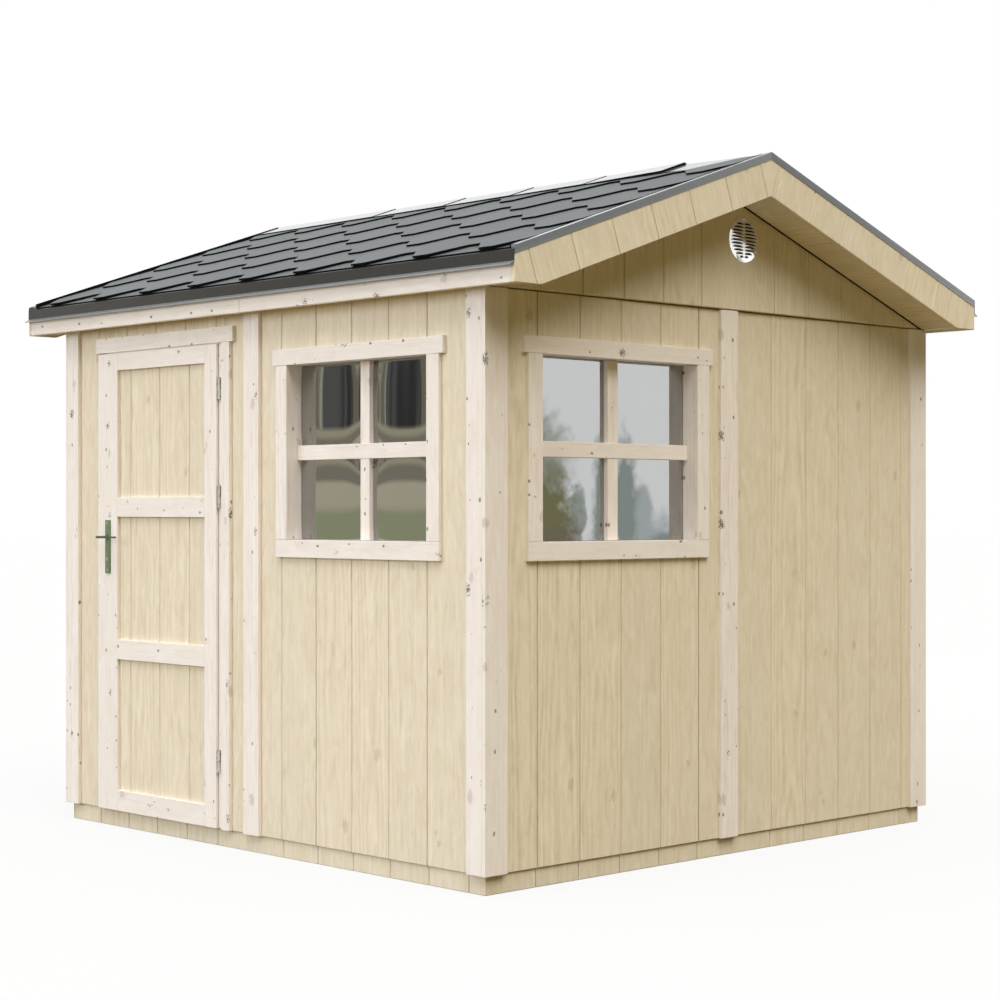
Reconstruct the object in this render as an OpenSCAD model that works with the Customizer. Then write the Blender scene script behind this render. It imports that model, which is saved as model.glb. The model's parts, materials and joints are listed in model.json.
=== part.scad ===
// Wooden garden shed with a framed door, two barred windows and a shingled saddle roof.
// Millimetres, Z up, the door wall faces -Y and the window gable faces +X.

/* [Plan] */
// length of the door wall over its corner boards
shed_length = 2410; // [2000:10:3000]
// width of the gable wall over its corner boards
shed_width = 2280; // [1900:10:2900]
// height of the base skirt
plinth_height = 62; // [40:1:120]
// how far the base skirt stands behind the corner boards
plinth_recess = 22; // [18:1:28]
// thickness of the skirt boards
plinth_board = 45; // [35:1:60]

/* [Walls] */
// thickness of the wall boards
board_thickness = 16; // [12:1:28]
// thickness of corner boards, battens and casings
trim_thickness = 14; // [10:1:20]
// width of the boards on the door side of a corner
corner_width = 88; // [70:1:120]
// width of the boards on the gable side of a corner
gable_corner_width = 96; // [70:1:120]
// width of the battens over the panel joints
batten_width = 88; // [60:1:120]
// middle of the front batten
front_batten_x = -3; // [-40:1:40]
// height of the gable boards' lower edge
gable_line = 1880; // [1700:5:2100]
// width and depth of the studs
stud = 45; // [35:1:70]
// joint left between boards that meet
board_joint = 0.6; // [0.4:0.1:1]

/* [Floor] */
// thickness of the floor boards
floor_thickness = 18; // [14:1:28]
// width of a floor joist
joist_width = 45; // [35:1:70]
// joists under the floor
joist_count = 3; // [2:1:5]

/* [Door] */
// wall left between the corner board and the lock stile
lock_margin = 147; // [60:1:200]
// wall left between the jamb trim and the front batten
jamb_margin = 84; // [30:1:140]
// width of the lock stile
lock_stile = 131; // [90:1:150]
// width of the hinge stile
hinge_stile = 73; // [60:1:110]
// gap between the skirt and the door frame
door_rise = 3; // [2:1:20]
// drop from the gable line to the door's top
door_drop = 101; // [70:1:160]
// height of the top rail
top_rail = 64; // [50:1:110]
// height of the bottom rail
bottom_rail = 77; // [50:1:120]
// drop from the door's top to the upper middle rail's lower edge
upper_rail_drop = 613; // [450:1:750]
// rise from the door's bottom to the lower middle rail's lower edge
lower_rail_rise = 568; // [400:1:700]
// height of the middle rails
middle_rail = 73; // [50:1:110]
// thickness of stiles and rails
door_frame_thickness = 12; // [8:1:20]
// how far the door frame stands in front of the casings
door_proud = 3; // [2:1:6]
// how far the door boards stop inside the lock stile's edge
board_inset = 55; // [40:1:80]
// clearance between the door boards and the doorway
door_clearance = 7; // [5:1:12]
// gap at the hinge side
hinge_gap = 24; // [20:1:34]
// width of the jamb trim on the hinge side
jamb_trim = 48; // [40:1:80]
// height of the head trims
head_height = 55; // [40:1:80]
// how far head trims run past the casings
head_overrun = 20; // [0:1:40]
// gap between the door and its head trim
head_gap = 5; // [5:1:8]

/* [Hinges] */
// radius of the hinge knuckle
knuckle_radius = 7; // [5:0.5:9]
// length of a whole hinge
hinge_length = 78; // [60:1:110]
// gap between the two halves of a knuckle
knuckle_gap = 1; // [0.5:0.5:4]
// radius of the hinge pin
pin_radius = 3; // [2:0.5:4]
// thickness of the hinge flags
flag_thickness = 3; // [2:0.5:5]
// rise from the door's bottom to the lowest hinge's middle
low_hinge_rise = 239; // [120:1:350]
// drop from the door's top to the middle hinge's middle
middle_hinge_drop = 540; // [400:1:700]
// drop from the door's top to the top hinge's middle
top_hinge_drop = 157; // [100:1:250]

/* [Handle] */
// middle of the handle plate from the lock edge
handle_inset = 72; // [50:1:90]
// drop from the door's top to the lever
lever_drop = 689; // [600:1:800]
// rise of the lever over the plate's lower end
lever_rise = 136; // [60:1:160]
// length of the handle plate
plate_height = 200; // [150:1:260]
// width of the handle plate
plate_width = 37; // [25:1:50]
// thickness of the handle plate
plate_thickness = 6; // [3:1:10]
// length of the lever from its pivot
lever_length = 115; // [80:1:140]
// height of the lever bar
lever_bar = 11; // [8:1:20]
// how far the lever stands out from the plate
lever_reach = 46; // [35:1:60]
// radius of the lever's neck
neck_radius = 8; // [6:0.5:10]
// how deep the neck sits in the plate
neck_seat = 5; // [3:0.5:6]
// running gap round the neck and the hinge pins
running_gap = 0.08; // [0.04:0.01:0.1]

/* [Windows] */
// clear height of a window
window_height = 594; // [400:1:700]
// drop from the gable line to the top of the clear opening
window_drop = 196; // [150:1:300]
// wall left between the front batten and the front window's casing
front_batten_margin = 99; // [40:1:160]
// wall left between the front window's casing and the corner board
front_corner_margin = 129; // [40:1:180]
// wall left between the corner board and the gable window's casing
side_corner_margin = 91; // [40:1:160]
// wall left between the gable window's casing and its batten
side_batten_margin = 61; // [40:1:140]
// width of the window casing
casing_width = 60; // [40:1:80]
// thickness of the lining boards
lining_thickness = 12; // [8:1:20]
// depth of the glass behind the casing's face
glass_depth = 75; // [50:1:90]
// thickness of the glass
glass_thickness = 4; // [3:0.5:6]
// width of the beads behind the glass
bead_width = 30; // [15:1:40]
// depth of the beads behind the glass
bead_depth = 32; // [15:1:45]

/* [Roof] */
// rise of the roof for each unit of run
roof_slope = 0.3527; // [0.2:0.001:0.6]
// overhang past the gable's corner boards
verge_overhang = 187; // [100:1:260]
// overhang past the door wall's corner boards
eaves_overhang = 51; // [30:1:120]
// drop from the verge trim's top to the roof boards
verge_stand = 14; // [8:1:24]
// thickness of the roof boards, measured plumb
roof_board = 18; // [14:1:28]
// thickness of bargeboards and fascias
edge_board = 18; // [14:1:28]
// drop from the ridge to the bargeboard's lower edge
barge_drop = 151; // [120:1:200]
// drop from the ridge to the verge soffit
soffit_drop = 136; // [100:1:180]
// thickness of the soffit boards
soffit_board = 12; // [8:1:20]
// drop from the gable line to the level cut at the foot of the bargeboards
foot_drop = 7; // [0:1:30]
// how far the verge soffit turns level inside the wall's inner face
soffit_turn = 10; // [5:1:30]
// plumb gap between the roof's layers
layer_gap = 0.1; // [0.05:0.05:0.5]
// thickness of the shingle layer, measured plumb
shingle_layer = 6; // [4:1:12]
// thickness of the ridge caps, measured plumb
cap_layer = 6; // [4:1:12]
// width of the ridge caps on each side
ridge_cap_width = 125; // [80:1:180]
// width and height of the purlins
purlin_width = 45; // [35:1:80]
// height of the purlins
purlin_height = 95; // [70:1:140]

/* [Metal trim] */
// thickness of the folded metal
sheet = 2; // [1:0.5:3]
// height of the verge trim's face
verge_face = 26; // [18:1:40]
// width of the verge trim on the roof
verge_flange = 30; // [20:1:60]
// height of the eaves trim's face
eaves_face = 38; // [25:1:60]
// width of the eaves trim on the roof
eaves_flange = 14; // [10:1:60]
// how far the drip lip stands out
drip_reach = 18; // [8:1:30]
// how far the drip lip falls
drip_fall = 10; // [4:1:20]
// diameter of the gable vents
vent_diameter = 155; // [100:1:200]
// wall left between a vent's rim and the soffit
vent_gap = 10; // [5:1:60]
// middle of the vents across the gable
vent_y = 71; // [0:1:100]
// how far the vents stand out
vent_depth = 10; // [5:1:20]

/* [Hidden] */
half_x = shed_length / 2;
half_y = shed_width / 2;
wall_x = half_x - trim_thickness;
wall_y = half_y - trim_thickness;
inner_x = wall_x - board_thickness;
inner_y = wall_y - board_thickness;
floor_top = plinth_height + floor_thickness;
verge_x = half_x + verge_overhang;
eaves_y = half_y + eaves_overhang;
deck_x = verge_x - edge_board;
soffit_under = gable_line + (inner_y - soffit_turn) * roof_slope;
ridge_height = soffit_under + soffit_drop;
barge_foot = gable_line - foot_drop;
deck_top = ridge_height - verge_stand;
deck_under = deck_top - roof_board;
bearing = deck_under - layer_gap;
wall_top = bearing - wall_y * roof_slope;
shingle_under = deck_top + layer_gap;
shingle_top = shingle_under + shingle_layer;
fascia_inner = eaves_y - edge_board;
half_batten = batten_width / 2;
lock_edge = -half_x + corner_width + lock_margin;
hinge_edge = front_batten_x - half_batten - jamb_margin - jamb_trim - hinge_gap;
door_bottom = plinth_height + door_rise;
door_top = gable_line - door_drop;
upper_rail_z = door_top - upper_rail_drop;
lower_rail_z = door_bottom + lower_rail_rise;
doorway_left = lock_edge + board_inset - door_clearance;
doorway_right = hinge_edge + hinge_gap;
door_boards_top = door_top - 2 * door_clearance + head_gap;
doorway_top = door_boards_top + door_clearance;
door_face = -half_y - door_proud;
door_board_face = door_face + door_frame_thickness;
hinge_x = hinge_edge + hinge_gap / 2;
flag_set = 1;
hinge_y = -half_y - flag_set;
half_knuckle = (hinge_length - knuckle_gap) / 2;
hinge_heights = [door_bottom + low_hinge_rise, door_top - middle_hinge_drop,
    door_top - top_hinge_drop];
handle_x = lock_edge + handle_inset;
lever_z = door_top - lever_drop;
plate_z = lever_z - lever_rise;
plate_face = door_face - plate_thickness;
window_top = gable_line - window_drop;
window_bottom = window_top - window_height;
lining_bottom = window_bottom - lining_thickness;
lining_top = window_top + lining_thickness;
front_casing_left = front_batten_x + half_batten + front_batten_margin;
front_casing_right = half_x - corner_width - front_corner_margin;
side_casing_left = -half_y + gable_corner_width + side_corner_margin;
side_casing_right = -half_batten - side_batten_margin;
front_window = [(front_casing_left + front_casing_right) / 2,
    (front_casing_right - front_casing_left) / 2 - casing_width];
side_window = [(side_casing_left + side_casing_right) / 2,
    (side_casing_right - side_casing_left) / 2 - casing_width];
bead_front = glass_depth + glass_thickness;
vent_radius = vent_diameter / 2;
vent_z = soffit_under - (vent_y + vent_radius) * roof_slope - vent_radius - vent_gap;
$fn = 48;

// a box given by its two corners
module block(low, high) {
    translate(low)
        cube(high - low);
}

// the same piece at both ends of the shed's length
module both_ends() {
    children();
    mirror([1, 0, 0])
        children();
}

// the same piece at the front and the back
module front_and_back() {
    children();
    mirror([0, 1, 0])
        children();
}

// a profile drawn across the shed, run along its length
module along_x(from, to) {
    translate([from, 0, 0])
        rotate([90, 0, 90])
            linear_extrude(to - from)
                children();
}

// turns a piece built for the front wall onto the right wall
module on_right_wall() {
    translate([half_x - half_y, 0, 0])
        rotate([0, 0, 90])
            children();
}

// four boards round an opening in the front wall, side boards between top and bottom
module ring_of_boards(middle, inner, outer, low, high, front, back) {
    block([middle - outer, front, low[0]], [middle + outer, back, low[1]]);
    block([middle - outer, front, high[0]], [middle + outer, back, high[1]]);
    block([middle - outer, front, low[1] + board_joint],
        [middle - inner, back, high[0] - board_joint]);
    block([middle + inner, front, low[1] + board_joint],
        [middle + outer, back, high[0] - board_joint]);
}

module plinth() {
    outer_x = half_x - plinth_recess;
    outer_y = half_y - plinth_recess;
    color("burlywood") {
        front_and_back()
            block([-outer_x, -outer_y, 0], [outer_x, -outer_y + plinth_board, plinth_height]);
        both_ends()
            block([outer_x - plinth_board, -outer_y + plinth_board + board_joint, 0],
                [outer_x, outer_y - plinth_board - board_joint, plinth_height]);
    }
}

module floor_joists() {
    joist_end = half_y - plinth_recess - plinth_board;
    bay = 2 * inner_x / (joist_count + 1);
    color("burlywood")
        for (i = [1 : joist_count])
            translate([-inner_x + i * bay, 0, 0])
                block([-joist_width / 2, -joist_end, 0], [joist_width / 2, joist_end, plinth_height]);
}

module floor() {
    color("tan")
        block([-inner_x, -inner_y, plinth_height], [inner_x, inner_y, floor_top]);
}

module front_wall_left() {
    color("wheat")
        block([-wall_x, -wall_y, plinth_height], [doorway_left, -inner_y, wall_top]);
}

module front_wall_over_door() {
    color("wheat")
        block([doorway_left, -wall_y, doorway_top], [doorway_right, -inner_y, wall_top]);
}

// wall boards round a window given by its middle and half width, in four fields
module window_wall(from, to, window, top) {
    middle = window[0];
    lining_half = window[1] + lining_thickness;
    block([from, -wall_y, plinth_height], [middle - lining_half, -inner_y, top]);
    block([middle + lining_half, -wall_y, plinth_height], [to, -inner_y, top]);
    block([middle - lining_half + board_joint, -wall_y, plinth_height],
        [middle + lining_half - board_joint, -inner_y, lining_bottom]);
    block([middle - lining_half + board_joint, -wall_y, lining_top],
        [middle + lining_half - board_joint, -inner_y, top]);
}

module front_wall_right() {
    color("wheat")
        window_wall(doorway_right, wall_x, front_window, wall_top);
}

module right_wall() {
    color("tan")
        on_right_wall()
            window_wall(-inner_y, inner_y, side_window, gable_line);
}

module back_wall() {
    color("wheat")
        block([-wall_x, inner_y, plinth_height], [wall_x, wall_y, wall_top]);
}

module left_wall() {
    color("tan")
        block([-wall_x, -inner_y, plinth_height], [-inner_x, inner_y, gable_line]);
}

module right_gable() {
    side_top = bearing - inner_y * roof_slope;
    color("tan")
        along_x(inner_x, half_x)
            polygon([[-inner_y, gable_line], [inner_y, gable_line], [inner_y, side_top],
                [0, bearing], [-inner_y, side_top]]);
}

module left_gable() {
    mirror([1, 0, 0])
        right_gable();
}

// one stud against the front wall
module front_stud(middle, foot, top) {
    block([middle - stud / 2, -inner_y, foot], [middle + stud / 2, -inner_y + stud, top]);
}

module front_studs() {
    window_stud = front_window[1] + lining_thickness + stud / 2;
    color("burlywood") {
        front_stud(inner_x - stud / 2, floor_top, wall_top);
        front_stud(-inner_x + stud / 2, floor_top, wall_top);
        front_stud(doorway_left - stud / 2, floor_top, wall_top);
        front_stud(doorway_right + stud / 2, floor_top, wall_top);
        front_stud(front_window[0] - window_stud, floor_top, wall_top);
        front_stud(front_window[0] + window_stud, floor_top, wall_top);
    }
}

module back_studs() {
    color("burlywood")
        mirror([0, 1, 0])
            for (x = [-inner_x + stud / 2, -inner_x / 2, 0, inner_x / 2, inner_x - stud / 2])
                front_stud(x, floor_top, wall_top);
}

// one stud against the right wall, standing between the front and back studs
module side_stud(middle) {
    block([inner_x - stud, middle - stud / 2, floor_top], [inner_x, middle + stud / 2, gable_line]);
}

module right_studs() {
    window_stud = side_window[1] + lining_thickness + stud / 2;
    color("burlywood")
        for (y = [side_window[0] - window_stud, side_window[0] + window_stud, inner_y / 2])
            side_stud(y);
}

module left_studs() {
    color("burlywood")
        mirror([1, 0, 0])
            for (y = [-inner_y / 2, 0, inner_y / 2])
                side_stud(y);
}

module corner_boards() {
    color("antiquewhite")
        both_ends()
            front_and_back() {
                block([half_x - corner_width, -half_y, plinth_height],
                    [wall_x - board_joint, -wall_y, gable_line]);
                block([wall_x, -half_y, plinth_height],
                    [half_x, -half_y + gable_corner_width, gable_line]);
            }
}

module joint_battens() {
    half = half_batten;
    color("antiquewhite") {
        block([front_batten_x - half, -half_y, plinth_height],
            [front_batten_x + half, -wall_y, gable_line]);
        block([front_batten_x - half, wall_y, plinth_height],
            [front_batten_x + half, half_y, gable_line]);
        both_ends()
            block([wall_x, -half, plinth_height], [half_x, half, gable_line]);
    }
}

module door_casing() {
    head_low = door_top + head_gap;
    color("antiquewhite") {
        block([lock_edge - head_overrun, -half_y, head_low],
            [doorway_right + jamb_trim + head_overrun, -wall_y, head_low + head_height]);
        block([doorway_right, -half_y, plinth_height],
            [doorway_right + jamb_trim, -wall_y, head_low - board_joint]);
    }
}

// casing of a window in the front wall: head, sides and bottom board
module window_casing(window) {
    middle = window[0];
    window_half = window[1];
    casing_half = window_half + casing_width;
    sides_low = window_bottom + board_joint;
    sides_high = window_top - board_joint;
    block([middle - casing_half - head_overrun, -half_y, window_top],
        [middle + casing_half + head_overrun, -wall_y, window_top + head_height]);
    block([middle - casing_half, -half_y, window_bottom - casing_width],
        [middle + casing_half, -wall_y, window_bottom]);
    block([middle - casing_half, -half_y, sides_low], [middle - window_half, -wall_y, sides_high]);
    block([middle + window_half, -half_y, sides_low], [middle + casing_half, -wall_y, sides_high]);
}

// boards that line the wall between casing and glass
module window_lining(window) {
    ring_of_boards(window[0], window[1], window[1] + lining_thickness - board_joint,
        [lining_bottom + board_joint, window_bottom], [window_top, lining_top - board_joint],
        -wall_y, -half_y + glass_depth);
}

module window_glass(window) {
    middle = window[0];
    lining_half = window[1] + lining_thickness;
    block([middle - lining_half, -half_y + glass_depth, lining_bottom],
        [middle + lining_half, -half_y + bead_front, lining_top]);
}

// beads that hold the glass from inside
module window_beads(window) {
    lining_half = window[1] + lining_thickness;
    ring_of_boards(window[0], lining_half - bead_width, lining_half,
        [lining_bottom, lining_bottom + bead_width], [lining_top - bead_width, lining_top],
        -half_y + bead_front, -half_y + bead_front + bead_depth);
}

module front_window_casing() {
    color("antiquewhite")
        window_casing(front_window);
}

module front_window_lining() {
    color("antiquewhite")
        window_lining(front_window);
}

module front_window_glass() {
    color("lightblue")
        window_glass(front_window);
}

module front_window_beads() {
    color("burlywood")
        window_beads(front_window);
}

module side_window_casing() {
    color("antiquewhite")
        on_right_wall()
            window_casing(side_window);
}

module side_window_lining() {
    color("antiquewhite")
        on_right_wall()
            window_lining(side_window);
}

module side_window_glass() {
    color("lightblue")
        on_right_wall()
            window_glass(side_window);
}

module side_window_beads() {
    color("burlywood")
        on_right_wall()
            window_beads(side_window);
}

module gable_vents() {
    color("silver")
        both_ends()
            translate([half_x, vent_y, vent_z])
                rotate([0, 90, 0])
                    cylinder(h = vent_depth, d = vent_diameter);
}

// a sloping layer of one roof side between two plumb offsets, from the ridge to an eaves line
module front_slope(top, under, reach) {
    polygon([[0, top], [0, under], [-reach, under - reach * roof_slope],
        [-reach, top - reach * roof_slope]]);
}

module roof_boards() {
    color("tan")
        front_and_back()
            along_x(-deck_x, deck_x)
                translate([-board_joint, 0])
                    front_slope(deck_top - board_joint * roof_slope,
                        deck_under - board_joint * roof_slope, eaves_y - board_joint);
}

module roof_purlins() {
    middle = half_y / 2;
    side = purlin_width / 2;
    color("burlywood") {
        along_x(-inner_x, inner_x)
            polygon([[-side, bearing - purlin_height], [side, bearing - purlin_height],
                [side, bearing - side * roof_slope], [0, bearing],
                [-side, bearing - side * roof_slope]]);
        front_and_back()
            along_x(-inner_x, inner_x)
                translate([-middle, bearing - middle * roof_slope])
                    polygon([[-side, -purlin_height], [side, -purlin_height],
                        [side, side * roof_slope], [-side, -side * roof_slope]]);
    }
}

module bargeboards() {
    under = ridge_height - barge_drop;
    foot = (under - barge_foot) / roof_slope;
    apex_joint = board_joint / 2;
    color("tan")
        both_ends()
            front_and_back()
                along_x(deck_x, verge_x)
                    polygon([[-apex_joint, deck_top - apex_joint * roof_slope],
                        [-apex_joint, under - apex_joint * roof_slope], [-foot, barge_foot],
                        [-eaves_y, barge_foot], [-eaves_y, deck_top - eaves_y * roof_slope]]);
}

module verge_soffits() {
    level = (soffit_under - gable_line) / roof_slope;
    top = soffit_under + soffit_board;
    apex_joint = board_joint / 2;
    color("tan")
        both_ends()
            front_and_back()
                along_x(half_x, deck_x)
                    polygon([[-apex_joint, top - apex_joint * roof_slope],
                        [-apex_joint, soffit_under - apex_joint * roof_slope],
                        [-level, gable_line], [-wall_y, gable_line],
                        [-wall_y, top - wall_y * roof_slope]]);
}

module fascias() {
    color("antiquewhite")
        front_and_back()
            along_x(-deck_x, deck_x)
                polygon([[-eaves_y, barge_foot], [-fascia_inner, barge_foot],
                    [-fascia_inner, bearing - fascia_inner * roof_slope],
                    [-eaves_y, bearing - eaves_y * roof_slope]]);
}

module eaves_soffits() {
    color("tan")
        front_and_back()
            block([-deck_x, -fascia_inner, gable_line], [deck_x, -wall_y, gable_line + soffit_board]);
}

// folded eaves trim: flange on the boards, plumb face and slanted drip lip
module eaves_trim() {
    bed = deck_top + layer_gap;
    edge = bed - eaves_y * roof_slope;
    back = eaves_y - eaves_flange;
    low = edge + sheet - eaves_face;
    out = eaves_y + sheet;
    color("dimgray")
        front_and_back()
            along_x(-verge_x, verge_x)
                polygon([[-back, bed - back * roof_slope], [-eaves_y, edge],
                    [-eaves_y, low], [-out - drip_reach + sheet, low - drip_fall],
                    [-out - drip_reach, low - drip_fall + sheet], [-out, low + sheet],
                    [-out, edge + sheet], [-back, bed + sheet - back * roof_slope]]);
}

// folded verge trim: a face over the bargeboard and a raised flange on the boards
module verge_trim() {
    apex_joint = board_joint / 2;
    run = eaves_y - eaves_flange;
    color("gray")
        both_ends()
            front_and_back() {
                along_x(verge_x, verge_x + sheet)
                    translate([-apex_joint, 0])
                        front_slope(ridge_height, ridge_height - verge_face, eaves_y - apex_joint);
                along_x(verge_x - verge_flange, verge_x)
                    translate([-apex_joint, 0])
                        front_slope(ridge_height, shingle_under, run - apex_joint);
            }
}

module shingles_front() {
    reach = eaves_y - eaves_flange;
    color("dimgray")
        along_x(-verge_x + verge_flange, verge_x - verge_flange)
            translate([-board_joint, 0])
                front_slope(shingle_top - board_joint * roof_slope,
                    shingle_under - board_joint * roof_slope, reach - board_joint);
}

module shingles_back() {
    mirror([0, 1, 0])
        shingles_front();
}

// the two halves of the ridge caps
module ridge_caps() {
    fold = board_joint / 2;
    under = shingle_top + layer_gap - fold * roof_slope;
    color("gray")
        front_and_back()
            along_x(-verge_x + verge_flange, verge_x - verge_flange)
                translate([-fold, 0])
                    front_slope(under + cap_layer, under, ridge_cap_width - fold);
}

// lower hinge halves with their pins, fixed to the jamb
module frame_hinges() {
    color("silver")
        for (z = hinge_heights)
            translate([hinge_x, hinge_y, z - hinge_length / 2]) {
                cylinder(h = half_knuckle, r = knuckle_radius);
                cylinder(h = hinge_length, r = pin_radius);
                block([0, flag_set, 0], [hinge_gap / 2, flag_set + flag_thickness, half_knuckle]);
            }
}

// upper hinge halves that turn on the pins, fixed to the hinge stile
module door_hinges() {
    color("silver")
        for (z = hinge_heights)
            translate([hinge_x, hinge_y, z + knuckle_gap / 2])
                difference() {
                    union() {
                        cylinder(h = half_knuckle, r = knuckle_radius);
                        block([-hinge_gap / 2, flag_set, 0],
                            [0, flag_set + flag_thickness, half_knuckle]);
                    }
                    translate([0, 0, -1])
                        cylinder(h = half_knuckle + 2, r = pin_radius + running_gap);
                }
}

module door_boards() {
    color("wheat")
        block([lock_edge + board_inset, door_board_face, door_bottom + head_gap],
            [hinge_edge, door_board_face + board_thickness, door_boards_top]);
}

// stiles and rails, with a fine joint where they meet
module door_frame() {
    left = lock_edge + lock_stile + board_joint;
    right = hinge_edge - hinge_stile - board_joint;
    color("antiquewhite") {
        block([lock_edge, door_face, door_bottom], [lock_edge + lock_stile, door_board_face, door_top]);
        block([hinge_edge - hinge_stile, door_face, door_bottom],
            [hinge_edge, door_board_face, door_top]);
        block([left, door_face, door_top - top_rail], [right, door_board_face, door_top]);
        block([left, door_face, upper_rail_z], [right, door_board_face, upper_rail_z + middle_rail]);
        block([left, door_face, lower_rail_z], [right, door_board_face, lower_rail_z + middle_rail]);
        block([left, door_face, door_bottom], [right, door_board_face, door_bottom + bottom_rail]);
    }
}

// long plate with a seat for the lever's neck
module handle_plate() {
    color("gray")
        difference() {
            block([handle_x - plate_width / 2, plate_face, plate_z],
                [handle_x + plate_width / 2, door_face, plate_z + plate_height]);
            translate([handle_x, door_face + 1, lever_z])
                rotate([90, 0, 0])
                    cylinder(h = plate_thickness + 2, r = neck_radius + running_gap);
        }
}

// neck and bar of the lever
module handle_lever() {
    bar_front = plate_face - lever_reach;
    color("gray") {
        translate([handle_x, plate_face + neck_seat, lever_z])
            rotate([90, 0, 0])
                cylinder(h = lever_reach + neck_seat, r = neck_radius);
        block([handle_x, bar_front, lever_z - lever_bar / 2],
            [handle_x + lever_length, bar_front + lever_bar, lever_z + lever_bar / 2]);
    }
}

plinth();
floor_joists();
floor();
front_wall_left();
front_wall_over_door();
front_wall_right();
right_wall();
back_wall();
left_wall();
right_gable();
left_gable();
front_studs();
back_studs();
right_studs();
left_studs();
corner_boards();
joint_battens();
door_casing();
front_window_casing();
front_window_lining();
front_window_glass();
front_window_beads();
side_window_casing();
side_window_lining();
side_window_glass();
side_window_beads();
gable_vents();
roof_boards();
roof_purlins();
bargeboards();
verge_soffits();
fascias();
eaves_soffits();
eaves_trim();
verge_trim();
shingles_front();
shingles_back();
ridge_caps();
frame_hinges();
door_boards();
door_frame();
door_hinges();
handle_plate();
handle_lever();
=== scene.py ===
import bmesh
import bpy
import json
import math
import random
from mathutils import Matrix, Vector

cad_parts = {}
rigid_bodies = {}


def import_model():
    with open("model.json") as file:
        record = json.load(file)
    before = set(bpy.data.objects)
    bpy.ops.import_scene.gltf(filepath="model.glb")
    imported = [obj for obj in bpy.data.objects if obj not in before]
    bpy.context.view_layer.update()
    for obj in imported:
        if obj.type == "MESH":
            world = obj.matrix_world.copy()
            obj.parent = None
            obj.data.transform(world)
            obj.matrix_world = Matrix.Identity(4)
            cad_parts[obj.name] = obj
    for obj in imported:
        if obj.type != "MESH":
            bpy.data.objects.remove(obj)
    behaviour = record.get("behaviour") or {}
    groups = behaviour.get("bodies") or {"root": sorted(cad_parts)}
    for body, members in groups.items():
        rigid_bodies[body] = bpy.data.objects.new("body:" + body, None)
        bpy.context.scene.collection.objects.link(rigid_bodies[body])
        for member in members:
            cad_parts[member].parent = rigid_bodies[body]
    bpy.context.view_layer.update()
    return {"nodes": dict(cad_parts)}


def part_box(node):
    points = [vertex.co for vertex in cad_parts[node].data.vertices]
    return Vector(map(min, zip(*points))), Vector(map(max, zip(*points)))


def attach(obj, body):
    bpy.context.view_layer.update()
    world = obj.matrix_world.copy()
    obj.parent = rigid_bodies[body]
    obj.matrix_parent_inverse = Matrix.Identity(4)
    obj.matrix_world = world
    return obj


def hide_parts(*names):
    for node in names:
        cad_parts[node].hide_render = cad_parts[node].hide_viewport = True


for leftover in list(bpy.data.objects):
    bpy.data.objects.remove(leftover)
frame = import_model()
nodes = frame["nodes"]
mm = 0.001
eastward = Vector((1, 0, 0))
southward = Vector((0, -1, 0))
upward = Vector((0, 0, 1))
acrossBoards = Vector((1, 0))             # the two directions of a flat outline
upBoards = Vector((0, 1))
print("frame loaded,", len(nodes), "nodes")

# Camera: level, off the near corner, with the photograph's framing
view = {
    "place": (6.0196, -5.5179, 1.1869),
    "turn": 44.99,                        # degrees round from looking along +Y
    "lens": 76.26, "filmWidth": 36,       # mm
    "shift": (-0.086, 0.0113),
    "farthest": 200,
}
film = bpy.data.cameras.new("photoCamera")
film.lens = view["lens"]
film.sensor_width = view["filmWidth"]
film.shift_x, film.shift_y = view["shift"]
film.clip_end = view["farthest"]
camera = bpy.data.objects.new("photoCamera", film)
camera.location = view["place"]
camera.rotation_euler = (math.radians(90), 0, math.radians(view["turn"]))
bpy.context.scene.collection.objects.link(camera)
bpy.context.scene.camera = camera
print("camera placed")


# Small tools
def hexToLinear(code):
    parts = [int(code[at:at + 2], 16) / 255 for at in (1, 3, 5)]
    return [p / 12.92 if p <= 0.04045 else ((p + 0.055) / 1.055) ** 2.4 for p in parts] + [1]


def addNode(tree, kind, settings=None, links=None):
    node = tree.nodes.new(kind)
    for key, value in (settings or {}).items():
        if isinstance(key, int) or key in node.inputs:
            node.inputs[key].default_value = value
        else:
            setattr(node, key, value)
    for key, source in (links or {}).items():
        tree.links.new(source, node.inputs[key])
    return node


def newMaterial(name, settings):
    material = bpy.data.materials.new(name)
    material.use_nodes = True
    surface = material.node_tree.nodes["Principled BSDF"]
    for key, value in settings.items():
        surface.inputs[key].default_value = value
    return material, material.node_tree, surface


def fillRamp(ramp, stops):
    while len(ramp.elements) < len(stops):
        ramp.elements.new(0.5)
    for element, (place, colour) in zip(ramp.elements, stops):
        element.position = place
        element.color = hexToLinear(colour)


# Timber: every board carries its own place in the log, so rings and fibres follow its length
# Real fibres are under 1 mm, drawn as strands of several so that they show
figureLook = {
    "slow": 0.28, "slowest": 0.02,                       # rings and strands are drawn out along the board
    "waveUnit": 0.314,                                   # one ring's share of the wave texture's unit
    "zones": (0.4, 0.62), "zoneShare": (0.25, 1.6),      # strands crowd in some zones
    "boldFrom": 0.35, "boldShare": (0.3, 1.6),           # rings are bold on few boards
    "stops": (0.27, 0.6, 0.84),
    "askew": 0.7, "knotSquash": 0.5, "knotEdge": 0.35,   # turned, so faces and edges both show knots
    "reliefDepth": 0.6 * mm,
}


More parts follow.
